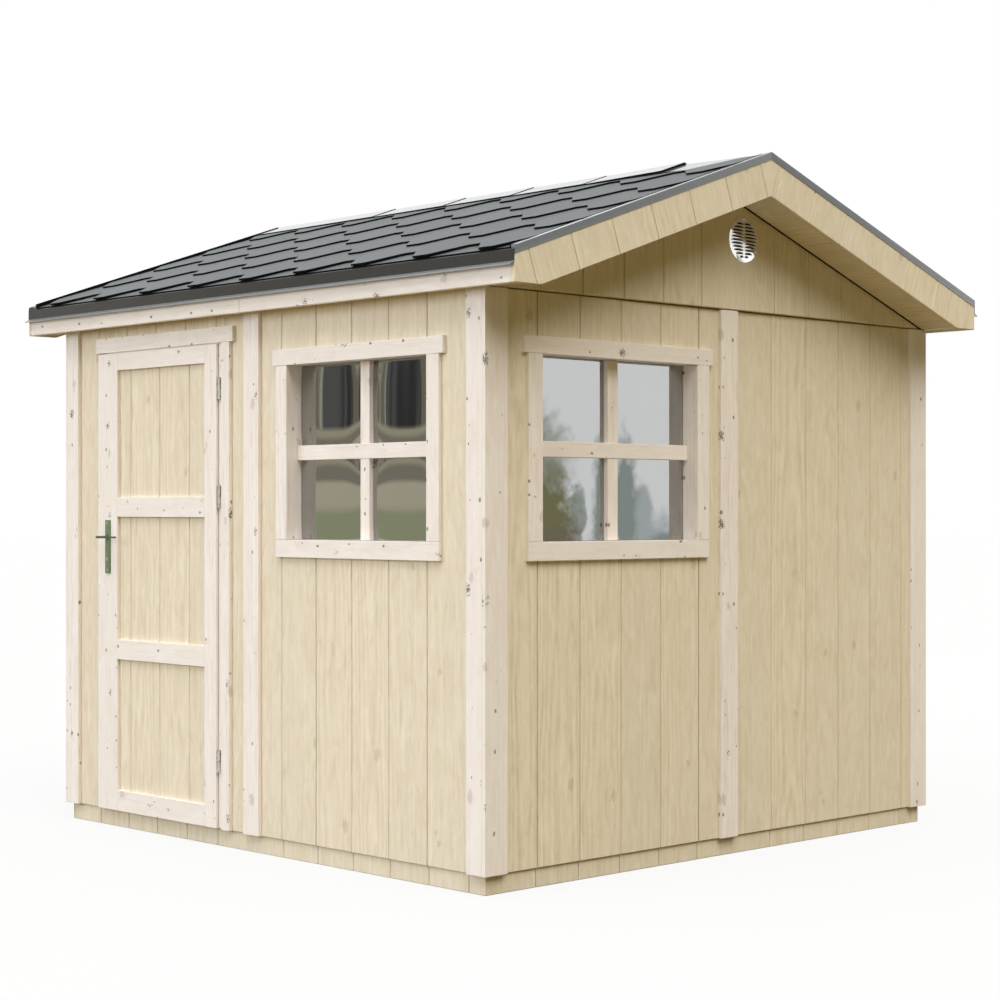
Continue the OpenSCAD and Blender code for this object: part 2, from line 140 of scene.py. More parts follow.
def timberMaterial(name, look):
    material, tree, surface = newMaterial(name, {
        "Roughness": look["roughness"], "IOR": 1.5, "Specular IOR Level": 0.2,
    })
    log = addNode(tree, "ShaderNodeAttribute", {"attribute_name": "timber"}).outputs["Vector"]
    tone = addNode(tree, "ShaderNodeAttribute", {"attribute_name": "boardTone"}).outputs["Fac"]
    drawn = addNode(tree, "ShaderNodeMapping", {"Scale": (1, 1, figureLook["slow"])}, {"Vector": log})
    drawnOut = addNode(tree, "ShaderNodeMapping", {"Scale": (1, 1, figureLook["slowest"])}, {"Vector": log})
    rings = addNode(tree, "ShaderNodeTexWave", {
        "wave_type": "RINGS", "rings_direction": "Z", "Distortion": look["wander"],
        "Scale": figureLook["waveUnit"] / (look["ringMm"] * mm),
        "Detail": 3, "Detail Scale": 0.25, "Detail Roughness": 0.6,
    }, {"Vector": drawn.outputs["Vector"]})
    fibres = addNode(tree, "ShaderNodeTexNoise", {
        "Scale": 1 / (look["fibreMm"] * mm), "Detail": 5, "Roughness": 0.7, "Distortion": 0.25,
    }, {"Vector": drawnOut.outputs["Vector"]})
    clouds = addNode(tree, "ShaderNodeTexNoise", {
        "Scale": 1 / (look["cloudMm"] * mm), "Detail": 4, "Roughness": 0.6, "Distortion": 1.2,
    }, {"Vector": drawn.outputs["Vector"]})
    zones = addNode(tree, "ShaderNodeTexNoise", {"Scale": 1 / (look["zoneMm"] * mm), "Detail": 1},
                    {"Vector": drawnOut.outputs["Vector"]})
    lively = addNode(tree, "ShaderNodeMapRange", {
        "From Min": figureLook["zones"][0], "From Max": figureLook["zones"][1],
        "To Min": figureLook["zoneShare"][0], "To Max": figureLook["zoneShare"][1],
    }, {"Value": zones.outputs["Fac"]})
    strands = addNode(tree, "ShaderNodeMix", {"clamp_factor": False, 2: 0.5},
                      {0: lively.outputs["Result"], 3: fibres.outputs["Fac"]})
    bold = addNode(tree, "ShaderNodeMapRange", {
        "From Min": figureLook["boldFrom"],
        "To Min": figureLook["boldShare"][0] * look["ringShare"],
        "To Max": figureLook["boldShare"][1] * look["ringShare"],
    }, {"Value": tone})
    ringPart = addNode(tree, "ShaderNodeMath", {"operation": "MULTIPLY"},
                       {0: rings.outputs["Fac"], 1: bold.outputs["Result"]})
    fibrePart = addNode(tree, "ShaderNodeMath", {"operation": "MULTIPLY_ADD", 1: look["fibreShare"]},
                        {0: strands.outputs[0], 2: ringPart.outputs[0]})
    figure = addNode(tree, "ShaderNodeMath", {
        "operation": "MULTIPLY_ADD", 1: 1 - look["ringShare"] - look["fibreShare"],
    }, {0: clouds.outputs["Fac"], 2: fibrePart.outputs[0]})
    wood = addNode(tree, "ShaderNodeValToRGB", {}, {"Fac": figure.outputs[0]})
    fillRamp(wood.color_ramp, list(zip(figureLook["stops"], look["colours"])))
    shade = addNode(tree, "ShaderNodeMapRange", {
        "To Min": 1 - look["boardSpread"], "To Max": 1 + look["boardSpread"],
    }, {"Value": tone})
    board = addNode(tree, "ShaderNodeHueSaturation", {}, {
        "Color": wood.outputs["Color"], "Value": shade.outputs["Result"],
    })
    colour = board.outputs["Color"]
    face = addNode(tree, "ShaderNodeMapping", {
        "Scale": (1, 1, figureLook["knotSquash"]), "Rotation": (-math.pi / 2, figureLook["askew"], 0),
    }, {"Vector": log}).outputs["Vector"]
    for knot in look["knots"]:
        size, half = knot["radiusMm"] / knot["cellMm"], knot["ragged"] / 2
        cells = addNode(tree, "ShaderNodeTexVoronoi", {
            "voronoi_dimensions": "2D", "Scale": 1 / (knot["cellMm"] * mm), "Randomness": 1,
        }, {"Vector": face})
        rough = addNode(tree, "ShaderNodeTexNoise", {"Scale": 1 / (knot["grainMm"] * mm), "Detail": 2},
                        {"Vector": face})
        chosen = addNode(tree, "ShaderNodeSeparateColor", {}, {"Color": cells.outputs["Color"]})
        room = addNode(tree, "ShaderNodeMapRange", {
            "To Min": size * (half + 0.5 - knot["clear"]),        # some cells stay clear
            "To Max": size * (half + 1.5),
        }, {"Value": chosen.outputs["Red"]})
        ragged = addNode(tree, "ShaderNodeMath", {"operation": "MULTIPLY_ADD", 1: knot["ragged"] * size},
                         {0: rough.outputs["Fac"], 2: cells.outputs["Distance"]})
        inside = addNode(tree, "ShaderNodeMath", {"operation": "SUBTRACT"},
                         {0: room.outputs["Result"], 1: ragged.outputs[0]})
        spot = addNode(tree, "ShaderNodeMapRange", {
            "From Min": 0, "From Max": figureLook["knotEdge"] * size, "To Min": 0, "To Max": knot["share"],
        }, {"Value": inside.outputs[0]})
        stained = addNode(tree, "ShaderNodeMix", {"data_type": "RGBA", 7: hexToLinear(knot["colour"])},
                          {0: spot.outputs["Result"], 6: colour})
        colour = stained.outputs[2]
    tree.links.new(colour, surface.inputs["Base Color"])
    bump = addNode(tree, "ShaderNodeBump", {
        "Strength": look["relief"], "Distance": figureLook["reliefDepth"],
    }, {"Height": figure.outputs[0]})
    tree.links.new(bump.outputs["Normal"], surface.inputs["Normal"])
    return material


# Spruce cladding, planed and oiled: calm straw-coloured boards with soft figure and few knots
claddingSpruce = timberMaterial("planedOiledSpruce", {
    "colours": ("#ece3d2", "#d8ccb4", "#c0af8e"), "roughness": 0.62, "relief": 0.1, "boardSpread": 0.035,
    "ringMm": 17, "wander": 14, "fibreMm": 8, "cloudMm": 34, "zoneMm": 45,
    "ringShare": 0.08, "fibreShare": 0.42,
    "knots": [
        {"colour": "#a8906a", "cellMm": 200, "radiusMm": 8, "grainMm": 6, "ragged": 3, "share": 0.3,
         "clear": 2.5},
    ],
})

# Pine trim, planed and left bare: nearly white, with small dark knots and pin ticks
trimPine = timberMaterial("planedBarePine", {
    "colours": ("#f4efec", "#e7ded8", "#ccbfb4"), "roughness": 0.6, "relief": 0.1, "boardSpread": 0.02,
    "ringMm": 14, "wander": 12, "fibreMm": 7, "cloudMm": 40, "zoneMm": 30,
    "ringShare": 0.08, "fibreShare": 0.42,
    "knots": [
        {"colour": "#94806f", "cellMm": 130, "radiusMm": 8, "grainMm": 6, "ragged": 2.4, "share": 0.3,
         "clear": 2},
        {"colour": "#54463e", "cellMm": 110, "radiusMm": 5, "grainMm": 4, "ragged": 8, "share": 0.8,
         "clear": 3},
        {"colour": "#54463e", "cellMm": 46, "radiusMm": 2.8, "grainMm": 2.4, "ragged": 2.4, "share": 0.75,
         "clear": 2},
    ],
})

# Sawn pine framing, unplaned: duller and rougher than the trim, with stronger rings
framingPine = timberMaterial("sawnPineFraming", {
    "colours": ("#dcc8a2", "#c6ab7e", "#a98a5e"), "roughness": 0.75, "relief": 0.35, "boardSpread": 0.06,
    "ringMm": 6, "wander": 4, "fibreMm": 5, "cloudMm": 50, "zoneMm": 40,
    "ringShare": 0.4, "fibreShare": 0.35,
    "knots": [
        {"colour": "#7c5b3c", "cellMm": 150, "radiusMm": 14, "grainMm": 10, "ragged": 1.5, "share": 0.7,
         "clear": 1.5},
    ],
})


# Solids are gathered in a pile and made into one mesh a piece
def emptyPile(smooth=0):
    return {"points": [], "faces": [], "timber": [], "tone": [], "finish": [], "smooth": smooth}


def stackSolid(pile, solid):
    first = len(pile["points"])
    solid.verts.index_update()
    pile["points"] += [vert.co.copy() for vert in solid.verts]
    pile["faces"] += [[first + vert.index for vert in face.verts] for face in solid.faces]
    solid.free()


# How a board was cut from its log: slopes, then places in metres
boardCut = {"lean": (0.01, 0.02), "pith": ((-0.05, 0.05), (0.03, 0.08)), "start": 40}


def stackBoard(pile, solid, across, through, along, chance):
    lean = [chance.uniform(-most, most) for most in boardCut["lean"]]
    pith = [chance.uniform(*reach) for reach in boardCut["pith"]]
    start = chance.uniform(0, boardCut["start"])
    tone = chance.random()
    middle = sum((vert.co for vert in solid.verts), Vector()) / len(solid.verts)
    for vert in solid.verts:
        arm = vert.co - middle
        run = arm.dot(along)
        pile["timber"].append((
            arm.dot(across) + pith[0] + lean[0] * run,
            arm.dot(through) + pith[1] + lean[1] * run,
            run + start,
        ))
        pile["tone"].append(tone)
    stackSolid(pile, solid)


shaping = {"sharpFrom": 25, "roundness": 0.6, "weld": 0.01 * mm, "flatTo": 1}     # degrees


def easeEdges(solid, width, steps):
    bmesh.ops.recalc_face_normals(solid, faces=solid.faces[:])
    sharp = [edge for edge in solid.edges if edge.calc_face_angle(0) > math.radians(shaping["sharpFrom"])]
    bmesh.ops.bevel(solid, geom=sharp, offset=width, segments=steps, profile=shaping["roundness"],
                    affect="EDGES", clamp_overlap=True)


def makePiece(name, pile, materials, body, standsFor):
    mesh = bpy.data.meshes.new(name)
    mesh.from_pydata(pile["points"], [], pile["faces"])
    if pile["timber"]:
        log = mesh.attributes.new("timber", "FLOAT_VECTOR", "POINT")
        log.data.foreach_set("vector", [value for place in pile["timber"] for value in place])
    if pile["tone"]:
        mesh.attributes.new("boardTone", "FLOAT", "POINT").data.foreach_set("value", pile["tone"])
    for material in materials:
        mesh.materials.append(material)
    if pile["finish"]:
        mesh.polygons.foreach_set("material_index", pile["finish"])
    if pile["smooth"]:
        mesh.shade_smooth()
        mesh.set_sharp_from_angle(angle=math.radians(pile["smooth"]))
    piece = bpy.data.objects.new(name, mesh)
    bpy.context.scene.collection.objects.link(piece)
    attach(piece, body)
    if standsFor:
        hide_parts(*standsFor)
    return piece


def tidyNormals(piece):
    solid = bmesh.new()
    solid.from_mesh(piece.data)
    bmesh.ops.recalc_face_normals(solid, faces=solid.faces[:])
    solid.to_mesh(piece.data)
    solid.free()


def weldedSolids(node):
    whole = bmesh.new()
    whole.from_mesh(nodes[node].data)
    bmesh.ops.remove_doubles(whole, verts=whole.verts[:], dist=shaping["weld"])
    bmesh.ops.dissolve_limit(whole, angle_limit=math.radians(shaping["flatTo"]), verts=whole.verts[:],
                             edges=whole.edges[:])
    left, solids = set(whole.verts), []
    while left:
        reached = [left.pop()]
        for vert in reached:
            near = [edge.other_vert(vert) for edge in vert.link_edges]
            fresh = [other for other in near if other in left]
            left.difference_update(fresh)
            reached += fresh
        faces = {face for vert in reached for face in vert.link_faces}
        solid = bmesh.new()
        copies = {vert: solid.verts.new(vert.co) for vert in sorted(reached, key=lambda v: v.index)}
        for face in sorted(faces, key=lambda f: f.index):
            solid.faces.new([copies[vert] for vert in face.verts])
        solid.normal_update()
        solids.append(solid)
    whole.free()
    solids.sort(key=lambda s: tuple(round(value, 4) for value in min(vert.co[:] for vert in s.verts)))
    return solids


# Sticks keep their CAD shape: edges are eased and the grain runs along the longest edge
def dressSticks(node, material, body, ease):
    chance, pile = random.Random(node), emptyPile()
    for solid in weldedSolids(node):
        longest = max(solid.edges, key=lambda edge: edge.calc_length())
        along = (longest.verts[1].co - longest.verts[0].co).normalized()
        through = max(solid.faces, key=lambda face: face.calc_area()).normal.copy()
        easeEdges(solid, ease, 2)
        stackBoard(pile, solid, along.cross(through), through, along, chance)
    makePiece(node + "_timber", pile, [material], body, [node])


# The face that a slab turns one way, as flat outlines in that face's own two directions
slabs = {"facing": 0.99, "thickest": 0.5, "sameLevel": 1 * mm}


def slabOutlines(node, outward, across, along):
    found = []
    for solid in weldedSolids(node):
        reach = [vert.co.dot(outward) for vert in solid.verts]
        depth = max(reach) - min(reach)
        for face in solid.faces:
            if face.normal.dot(outward) > slabs["facing"] and depth < slabs["thickest"]:     # no beam's end
                outline = [Vector((vert.co.dot(across), vert.co.dot(along))) for vert in face.verts]
                found.append((outline, max(reach), depth))
        solid.free()
    outermost = max(level for outline, level, depth in found)
    return [entry for entry in found if entry[1] > outermost - slabs["sameLevel"]]


def spanAlong(node, axis):
    return sorted(corner.dot(axis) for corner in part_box(node))


def rectangle(left, right, low, high):
    return [Vector(p) for p in ((left, low), (right, low), (right, high), (left, high))]


def clipOutline(outline, axis, low, high):
    for bound, side in ((low, 1), (high, -1)):
        kept = []
        for here, there in zip(outline, outline[1:] + outline[:1]):
            a, b = (here.dot(axis) - bound) * side, (there.dot(axis) - bound) * side
            if a >= 0:
                kept.append(here)
            if a * b < 0:
                kept.append(here.lerp(there, a / (a - b)))
        outline = kept
    return outline


joints = {"fromEnds": 4 * mm, "tightest": 0.42, "spread": 0.4}     # uneven joints, as shares of the gap


def sliceOutline(outline, axis, lines, gap, chance=None):
    reach = [point.dot(axis) for point in outline]
    low, high, margin = min(reach), max(reach), joints["fromEnds"]
    inside = [line for line in sorted(lines) if low + margin < line < high - margin]
    edges = []
    for line in [low - 2 * gap] + inside + [high + 2 * gap]:
        share = joints["tightest"] + joints["spread"] * chance.random() ** 2 if chance else 0.5
        edges.append((line, gap * share))
    strips = [clipOutline(outline, axis, a + before, b - after)
              for (a, before), (b, after) in zip(edges, edges[1:])]
    return [strip for strip in strips if len(strip) > 2]


def plankSolid(outline, across, along, outward, level, depth):
    solid = bmesh.new()
    rim = [[solid.verts.new(across * p.x + along * p.y + outward * (level - sunk)) for p in outline]
           for sunk in (0, depth)]
    solid.faces.new(rim[0])
    solid.faces.new(rim[1][::-1])
    for at in range(len(outline)):
        after = (at + 1) % len(outline)
        solid.faces.new([rim[0][at], rim[1][at], rim[1][after], rim[0][after]])
    return solid


# Cladding: tongued boards 190 mm apart, with a chamfer that leaves a fine V at each joint
cladding = {
    "pitch": 190 * mm, "gap": 2.6 * mm, "chamfer": 2.2 * mm, "tongue": 6.5 * mm, "shadowGap": 4 * mm,
    "frontStarts": (-228 * mm, 156 * mm),     # first joints left and right of the middle batten
    "gableStarts": (-143 * mm, 240 * mm),
    "doorStart": -766 * mm, "doorJoints": 3, "eachWay": 9,
}
sides = {
    "front": (southward, eastward, "frontStarts"),
    "back": (-southward, -eastward, "frontStarts"),
    "right": (eastward, -southward, "gableStarts"),
    "left": (-eastward, southward, "gableStarts"),
}


def jointLines(startName):
    first, second = cladding[startName]
    steps = [cladding["pitch"] * step for step in range(cladding["eachWay"])]
    return [first - step for step in steps] + [second + step for step in steps]


def cutRound(outline, hole):
    # boards beside an opening are notched, and boards over it are cut in two
    low, high = min(p.x for p in outline), max(p.x for p in outline)
    if not hole or high <= hole[0] or low >= hole[1]:
        return [outline]
    left, right, sill, head = hole
    foot, top = min(p.y for p in outline), max(p.y for p in outline)
    if low >= left and high <= right:
        return [rectangle(low, high, foot, sill), rectangle(low, high, head, top)]
    board = rectangle(low, high, foot, top)
    if low < left:
        notch = [(high, sill), (left, sill), (left, head), (high, head)]
        return [board[:2] + [Vector(p) for p in notch] + board[2:]]
    notch = [(low, head), (right, head), (right, sill), (low, sill)]
    return [board + [Vector(p) for p in notch]]


def layBoard(pile, outline, lines, across, outward, level, depth, chance):
    # the face stops short at each joint, and the tongue behind it closes the joint
    tongue = cladding["tongue"]
    face = plankSolid(outline, across, upward, outward, level, tongue)
    easeEdges(face, cladding["chamfer"], 1)
    wider = []
    for point in outline:
        joint = min(lines, key=lambda line: abs(line - point.x))
        wider.append(Vector((joint if abs(joint - point.x) < 2 * cladding["gap"] else point.x, point.y)))
    back = plankSolid(wider, across, upward, outward, level - tongue, depth - tongue)
    state = chance.getstate()
    stackBoard(pile, face, across, outward, upward, chance)
    chance.setstate(state)                    # both layers are the same board
    stackBoard(pile, back, across, outward, upward, chance)


def boardUp(node, side, sheets, hole=None):
    outward, across, startName = sides[side]
    lines = jointLines(startName)
    chance, pile = random.Random(node), emptyPile()
    for sheet, level, depth in sheets:
        uneven = random.Random(node + "_joints")
        for strip in sliceOutline(sheet, acrossBoards, lines, cladding["gap"], uneven):
            for outline in cutRound(strip, hole):
                layBoard(pile, outline, lines, across, outward, level, depth, chance)
    makePiece(node + "_cladding", pile, [claddingSpruce], "shed", [node])


def cladWall(node, side, holeNode=None):
    outward, across, startName = sides[side]
    back, front = spanAlong(node, outward)
    hole = spanAlong(holeNode, across) + spanAlong(holeNode, upward) if holeNode else None
    panel = rectangle(*spanAlong(node, across), *spanAlong(node, upward))
    boardUp(node, side, [(panel, front, front - back)], hole)


def cladGable(node, side):
    outward, across, startName = sides[side]
    sheets = []
    for outline, level, depth in slabOutlines(node, outward, across, upward):
        foot, top = min(p.y for p in outline), max(p.y for p in outline)
        sheets.append((clipOutline(outline, upBoards, foot + cladding["shadowGap"], top + 1), level, depth))
    boardUp(node, side, sheets)


# Slabs that stand for rows of boards: each turned face is sliced along one direction
def plankNode(node, turns, material, body, slot, gap, chamfer):
    chance, pile = random.Random(node), emptyPile()
    for outward, across, along, lines, grain in turns:
        for outline, level, depth in slabOutlines(node, outward, across, along):
            for strip in sliceOutline(outline, acrossBoards, lines, gap):
                solid = plankSolid(strip, across, along, outward, level, depth)
                easeEdges(solid, chamfer, 1)
                stackBoard(pile, solid, grain.cross(outward), outward, grain, chance)
    makePiece(node + "_planks", pile, [material], body, [node])


cladWall("front_wall_left", "front")
cladWall("front_wall_over_door", "front")
cladWall("front_wall_right", "front", "front_window_lining")
cladWall("right_wall", "right", "side_window_lining")
cladWall("left_wall", "left")
cladWall("back_wall", "back")
cladGable("right_gable", "right")
cladGable("left_gable", "left")
plankNode("plinth", [
    (outward, across, upward, jointLines(startName), upward)
    for outward, across, startName in sides.values()
], claddingSpruce, "shed", "wall_boards", cladding["gap"], cladding["chamfer"])
doorLines = [cladding["doorStart"] + cladding["pitch"] * step for step in range(cladding["doorJoints"])]
plankNode("door_boards", [(southward, eastward, upward, doorLines, upward)], claddingSpruce,
          "door", "wall_boards", cladding["gap"], cladding["chamfer"])
print("walls, gables, plinth and door boarded")


# Roof planes, read from the shingle slabs
def roofSide(node):
    solid = weldedSolids(node)[0]
    topFaces = [face for face in solid.faces if face.normal.z > 0.5]
    normal = max(topFaces, key=lambda face: face.calc_area()).normal.copy()
    solid.free()
    down = normal.cross(eastward)
    down = down if down.z < 0 else -down
    outline, level, depth = slabOutlines(node, normal, down, eastward)[0]
    bed = level - depth
    ridge = upward * (bed / normal.z)          # where the boarding meets the ridge
    return {
        "normal": normal, "down": down, "bed": bed, "ridge": ridge.dot(down),
        "foot": max(p.x for p in outline),
        "ends": (min(p.y for p in outline), max(p.y for p in outline)),
    }


roofSides = {"front": roofSide("shingles_front"), "back": roofSide("shingles_back")}
frontDown = roofSides["front"]["down"]
fall = Vector((math.hypot(frontDown.x, frontDown.y), frontDown.z))
ridgeTop = roofSides["front"]["bed"] / roofSides["front"]["normal"].z

# Roof timber: boards along the roof, short boards in the verge, fascias in two lengths
roofTimber = {
    "deckPitch": 120 * mm, "deckJoints": 10, "floorPitch": 120 * mm, "floorJoints": 18,
    "vergePitch": 190 * mm, "vergeFirst": 65 * mm, "vergeJoints": 7,
    "gap": 1.4 * mm, "chamfer": 2 * mm, "soffitGap": 9 * mm, "apexHalf": 5 * mm,
}
roofCut = (roofTimber["gap"], roofTimber["chamfer"])
deckSteps = [roofTimber["deckPitch"] * step for step in range(1, roofTimber["deckJoints"] + 1)]
plankNode("roof_boards", [
    (side["normal"], side["down"], eastward, [side["ridge"] + step for step in deckSteps], eastward)
    for side in roofSides.values()
], framingPine, "shed", "roof_timber", *roofCut)
vergeStart = ridgeTop * fall.y + roofTimber["vergeFirst"]
vergeLines = [vergeStart + roofTimber["vergePitch"] * step for step in range(roofTimber["vergeJoints"])]
vergeHalves = [(end, run) for end in (eastward, -eastward) for run in (southward, -southward)]


def overRidge(strip):
    # the two topmost boards of a bargeboard are one piece, bent over the ridge
    inner, outer = [sorted((p for p in strip if (p.x > roofTimber["apexHalf"]) == far), key=lambda p: -p.y)
                    for far in (False, True)]
    mirrored = [Vector((-p.x, p.y)) for p in (outer[-1], outer[0])]
    return [inner[0], outer[0], outer[-1], inner[-1]] + mirrored


def boardVerge(node, shortBoards):
    chance, pile = random.Random(node), emptyPile()
    for end, run in vergeHalves:
        slope = upward * fall.x - run * fall.y
        grain, through = (end, slope) if shortBoards else (run * -fall.y + upward * fall.x, end)
        for outline, level, depth in slabOutlines(node, end, run, upward):
            if sum(p.x for p in outline) < 0:
                continue
            strips = sliceOutline(outline, fall, vergeLines, roofTimber["gap"])
            if shortBoards:
                depth -= roofTimber["soffitGap"]
            else:
                strips.sort(key=lambda strip: min(p.x for p in strip))
                strips[0] = overRidge(strips[0])
                if run == southward:
                    strips = strips[1:]       # the piece over the ridge comes once, with the other half
            for strip in strips:
                solid = plankSolid(strip, run, upward, end, level, depth)
                easeEdges(solid, roofTimber["chamfer"], 1)
                stackBoard(pile, solid, grain.cross(through), through, grain, chance)
    makePiece(node + "_planks", pile, [claddingSpruce], "shed", [node])


boardVerge("bargeboards", False)
boardVerge("verge_soffits", True)
plankNode("fascias", [
    (outward, across, upward, [0], across) for outward, across, startName in (sides["front"], sides["back"])
], trimPine, "shed", "trim_boards", *roofCut)
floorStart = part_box("floor")[0].y
floorSteps = range(1, roofTimber["floorJoints"] + 1)
floorLines = [floorStart + roofTimber["floorPitch"] * step for step in floorSteps]
plankNode("floor", [(upward, -southward, eastward, floorLines, eastward)], framingPine, "shed",
          "floor_boards", *roofCut)
print("roof, verges, fascias and floor boarded, slope", round(math.degrees(math.asin(-fall.y)), 2))

# Trim and framing sticks
sticks = {"trimEase": 1.6 * mm, "doorEase": 0.7 * mm, "sawnEase": 1.2 * mm}
for node in ("corner_boards", "joint_battens", "door_casing", "front_window_casing", "front_window_lining",
             "front_window_beads", "side_window_casing", "side_window_lining", "side_window_beads"):
    dressSticks(node, trimPine, "shed", sticks["trimEase"])
dressSticks("door_frame", trimPine, "door", sticks["doorEase"])
dressSticks("eaves_soffits", claddingSpruce, "shed", sticks["trimEase"])
dressSticks("roof_purlins", framingPine, "shed", sticks["sawnEase"])
for node in ("front_studs", "back_studs", "right_studs", "left_studs", "floor_joists"):
    dressSticks(node, framingPine, "shed", sticks["sawnEase"])

# Rebate strips: the pale edges that show in the gaps beside the hinges and over the door
rebate = {"width": 21 * mm, "front": 1133.5 * mm, "depth": 7 * mm, "foot": 66 * mm,
          "overDoor": (1.5 * mm, 6 * mm), "ease": 0.8 * mm}
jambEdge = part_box("front_wall_right")[0].x
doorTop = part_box("door_frame")[1].z
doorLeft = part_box("front_wall_over_door")[0].x
headLow, headHigh = [doorTop + over for over in rebate["overDoor"]]
pile, chance = emptyPile(), random.Random("rebate")
for outline, grain in (
    (rectangle(jambEdge - rebate["width"], jambEdge, rebate["foot"], doorTop), upward),
    (rectangle(doorLeft, jambEdge, headLow, headHigh), eastward),
):
    solid = plankSolid(outline, eastward, upward, southward, rebate["front"], rebate["depth"])
    easeEdges(solid, rebate["ease"], 1)
    stackBoard(pile, solid, grain.cross(southward), southward, grain, chance)
makePiece("door_rebate_strips", pile, [trimPine], "shed", [])
print("trim and framing dressed")

# Window bars: a cross of two bars half lapped in front of the glass
bars = {"width": 47 * mm, "crossLow": 1361 * mm, "crossHigh": 1411 * mm, "behindFace": 48 * mm,
        "crossProud": 2 * mm, "lining": 12 * mm, "endGap": 0.6 * mm, "ease": 1.6 * mm, "overPane": 8.2 * mm}


def clearOpening(window, across):
    edge = bars["lining"] + bars["endGap"]
    left, right = spanAlong(window + "_lining", across)
    foot, head = spanAlong(window + "_lining", upward)
    return left + edge, right - edge, foot + edge, head - edge


def windowBars(window, outward, across):
    left, right, foot, head = clearOpening(window, across)
    face = spanAlong(window + "_casing", outward)[1] - bars["behindFace"]
    back = spanAlong(window + "_glass", outward)[1] + bars["overPane"]
    middle, half = (left + right) / 2, bars["width"] / 2
    upright = rectangle(middle - half, middle + half, foot, head)
    level = rectangle(left, right, bars["crossLow"], bars["crossHigh"])
    chance, pile = random.Random(window + "_bars"), emptyPile()
    for outline, front, grain in ((upright, face, upward), (level, face + bars["crossProud"], across)):
        solid = plankSolid(outline, across, upward, outward, front, front - back)
        easeEdges(solid, bars["ease"], 2)
        stackBoard(pile, solid, grain.cross(outward), outward, grain, chance)
    makePiece(window + "_bars", pile, [trimPine], "shed", [])


windowBars("front_window", southward, eastward)
windowBars("side_window", eastward, -southward)
print("window bars set")


# Plain finishes: two close tones mottled together, drawn coarser than the real specks so that they show
def speckledMaterial(name, settings, colours, grainMm, relief, detail=4):
    material, tree, surface = newMaterial(name, settings)
    place = addNode(tree, "ShaderNodeTexCoord")
    grain = addNode(tree, "ShaderNodeTexNoise", {"Scale": 1 / (grainMm * mm), "Detail": detail},
                    {"Vector": place.outputs["Object"]})
    dark, light = [hexToLinear(colour) for colour in colours]
    tint = addNode(tree, "ShaderNodeMix", {"data_type": "RGBA", 6: dark, 7: light},
                   {0: grain.outputs["Fac"]})
    tree.links.new(tint.outputs[2], surface.inputs["Base Color"])
    if relief:
        lift = addNode(tree, "ShaderNodeBump", {"Strength": relief, "Distance": 0.4 * mm},
                       {"Height": grain.outputs["Fac"]})
        tree.links.new(lift.outputs["Normal"], surface.inputs["Normal"])
    return material


# Bitumen shingle, pressed with mineral grit: dark up close, paler where light grazes it
shingleLook = {"base": "#3e4346", "pale": "#4f5558", "gritMm": 4, "patchMm": 120, "tabShare": 0.35,
               "relief": 0.15, "reliefDepth": 0.8 * mm}
shingleTop, tree, surface = newMaterial("grittedBitumenShingle", {"Roughness": 0.48, "IOR": 1.5})
place = addNode(tree, "ShaderNodeTexCoord")
grit = addNode(tree, "ShaderNodeTexNoise", {"Scale": 1 / (shingleLook["gritMm"] * mm), "Detail": 3},
               {"Vector": place.outputs["Object"]})     # real grit is 1 mm, drawn coarser so that it shows
patch = addNode(tree, "ShaderNodeTexNoise", {"Scale": 1 / (shingleLook["patchMm"] * mm), "Detail": 3},
                {"Vector": place.outputs["Object"]})
tab = addNode(tree, "ShaderNodeAttribute", {"attribute_name": "boardTone"})
mixed = addNode(tree, "ShaderNodeMath", {"operation": "MULTIPLY"},
                {0: grit.outputs["Fac"], 1: patch.outputs["Fac"]})
spread = addNode(tree, "ShaderNodeMath", {"operation": "MULTIPLY_ADD", 1: shingleLook["tabShare"]},
                 {0: tab.outputs["Fac"], 2: mixed.outputs[0]})
tint = addNode(tree, "ShaderNodeMix", {
    "data_type": "RGBA", 6: hexToLinear(shingleLook["base"]), 7: hexToLinear(shingleLook["pale"]),
}, {0: spread.outputs[0]})
tree.links.new(tint.outputs[2], surface.inputs["Base Color"])
lift = addNode(tree, "ShaderNodeBump", {
    "Strength": shingleLook["relief"], "Distance": shingleLook["reliefDepth"],
}, {"Height": grit.outputs["Fac"]})
tree.links.new(lift.outputs["Normal"], surface.inputs["Normal"])

# Black bitumen edge without grit: the bitumen's own black on cut edges, also painted shade under each edge
# and on the verge strips
blackEdgeAndShade = speckledMaterial("bitumenEdgeAndPaintedShade", {
    "Roughness": 0.9, "IOR": 1.5, "Specular IOR Level": 0.1,
}, ("#08090a", "#141617"), 6, 0, 3)
# Ridge strip: the same bitumen under a smooth clear film, so it mirrors the sky at a low angle
ridgeFilm = speckledMaterial("filmedBitumenRidge", {
    "Roughness": 0.3, "IOR": 1.5, "Coat Weight": 1.0, "Coat Roughness": 0.08, "Coat IOR": 1.7,
}, ("#44494c", "#5a6063"), 5, 0, 3)

# Shingle courses: hexagon tabs, each course lying on the one below
shingles = {
    "exposure": 250 * mm, "courses": 5, "tabs": 11, "tabPitch": 309 * mm, "firstTab": -1254 * mm,
    "tabFlat": 71 * mm, "notchFlat": 54 * mm, "tabDepth": 100 * mm, "underlap": 50 * mm, "sheet": 6.5 * mm,
    "starter": (160 * mm, 3 * mm), "ridgeGap": 4 * mm, "bedGap": 0.2 * mm, "endGap": 0.5 * mm,
}


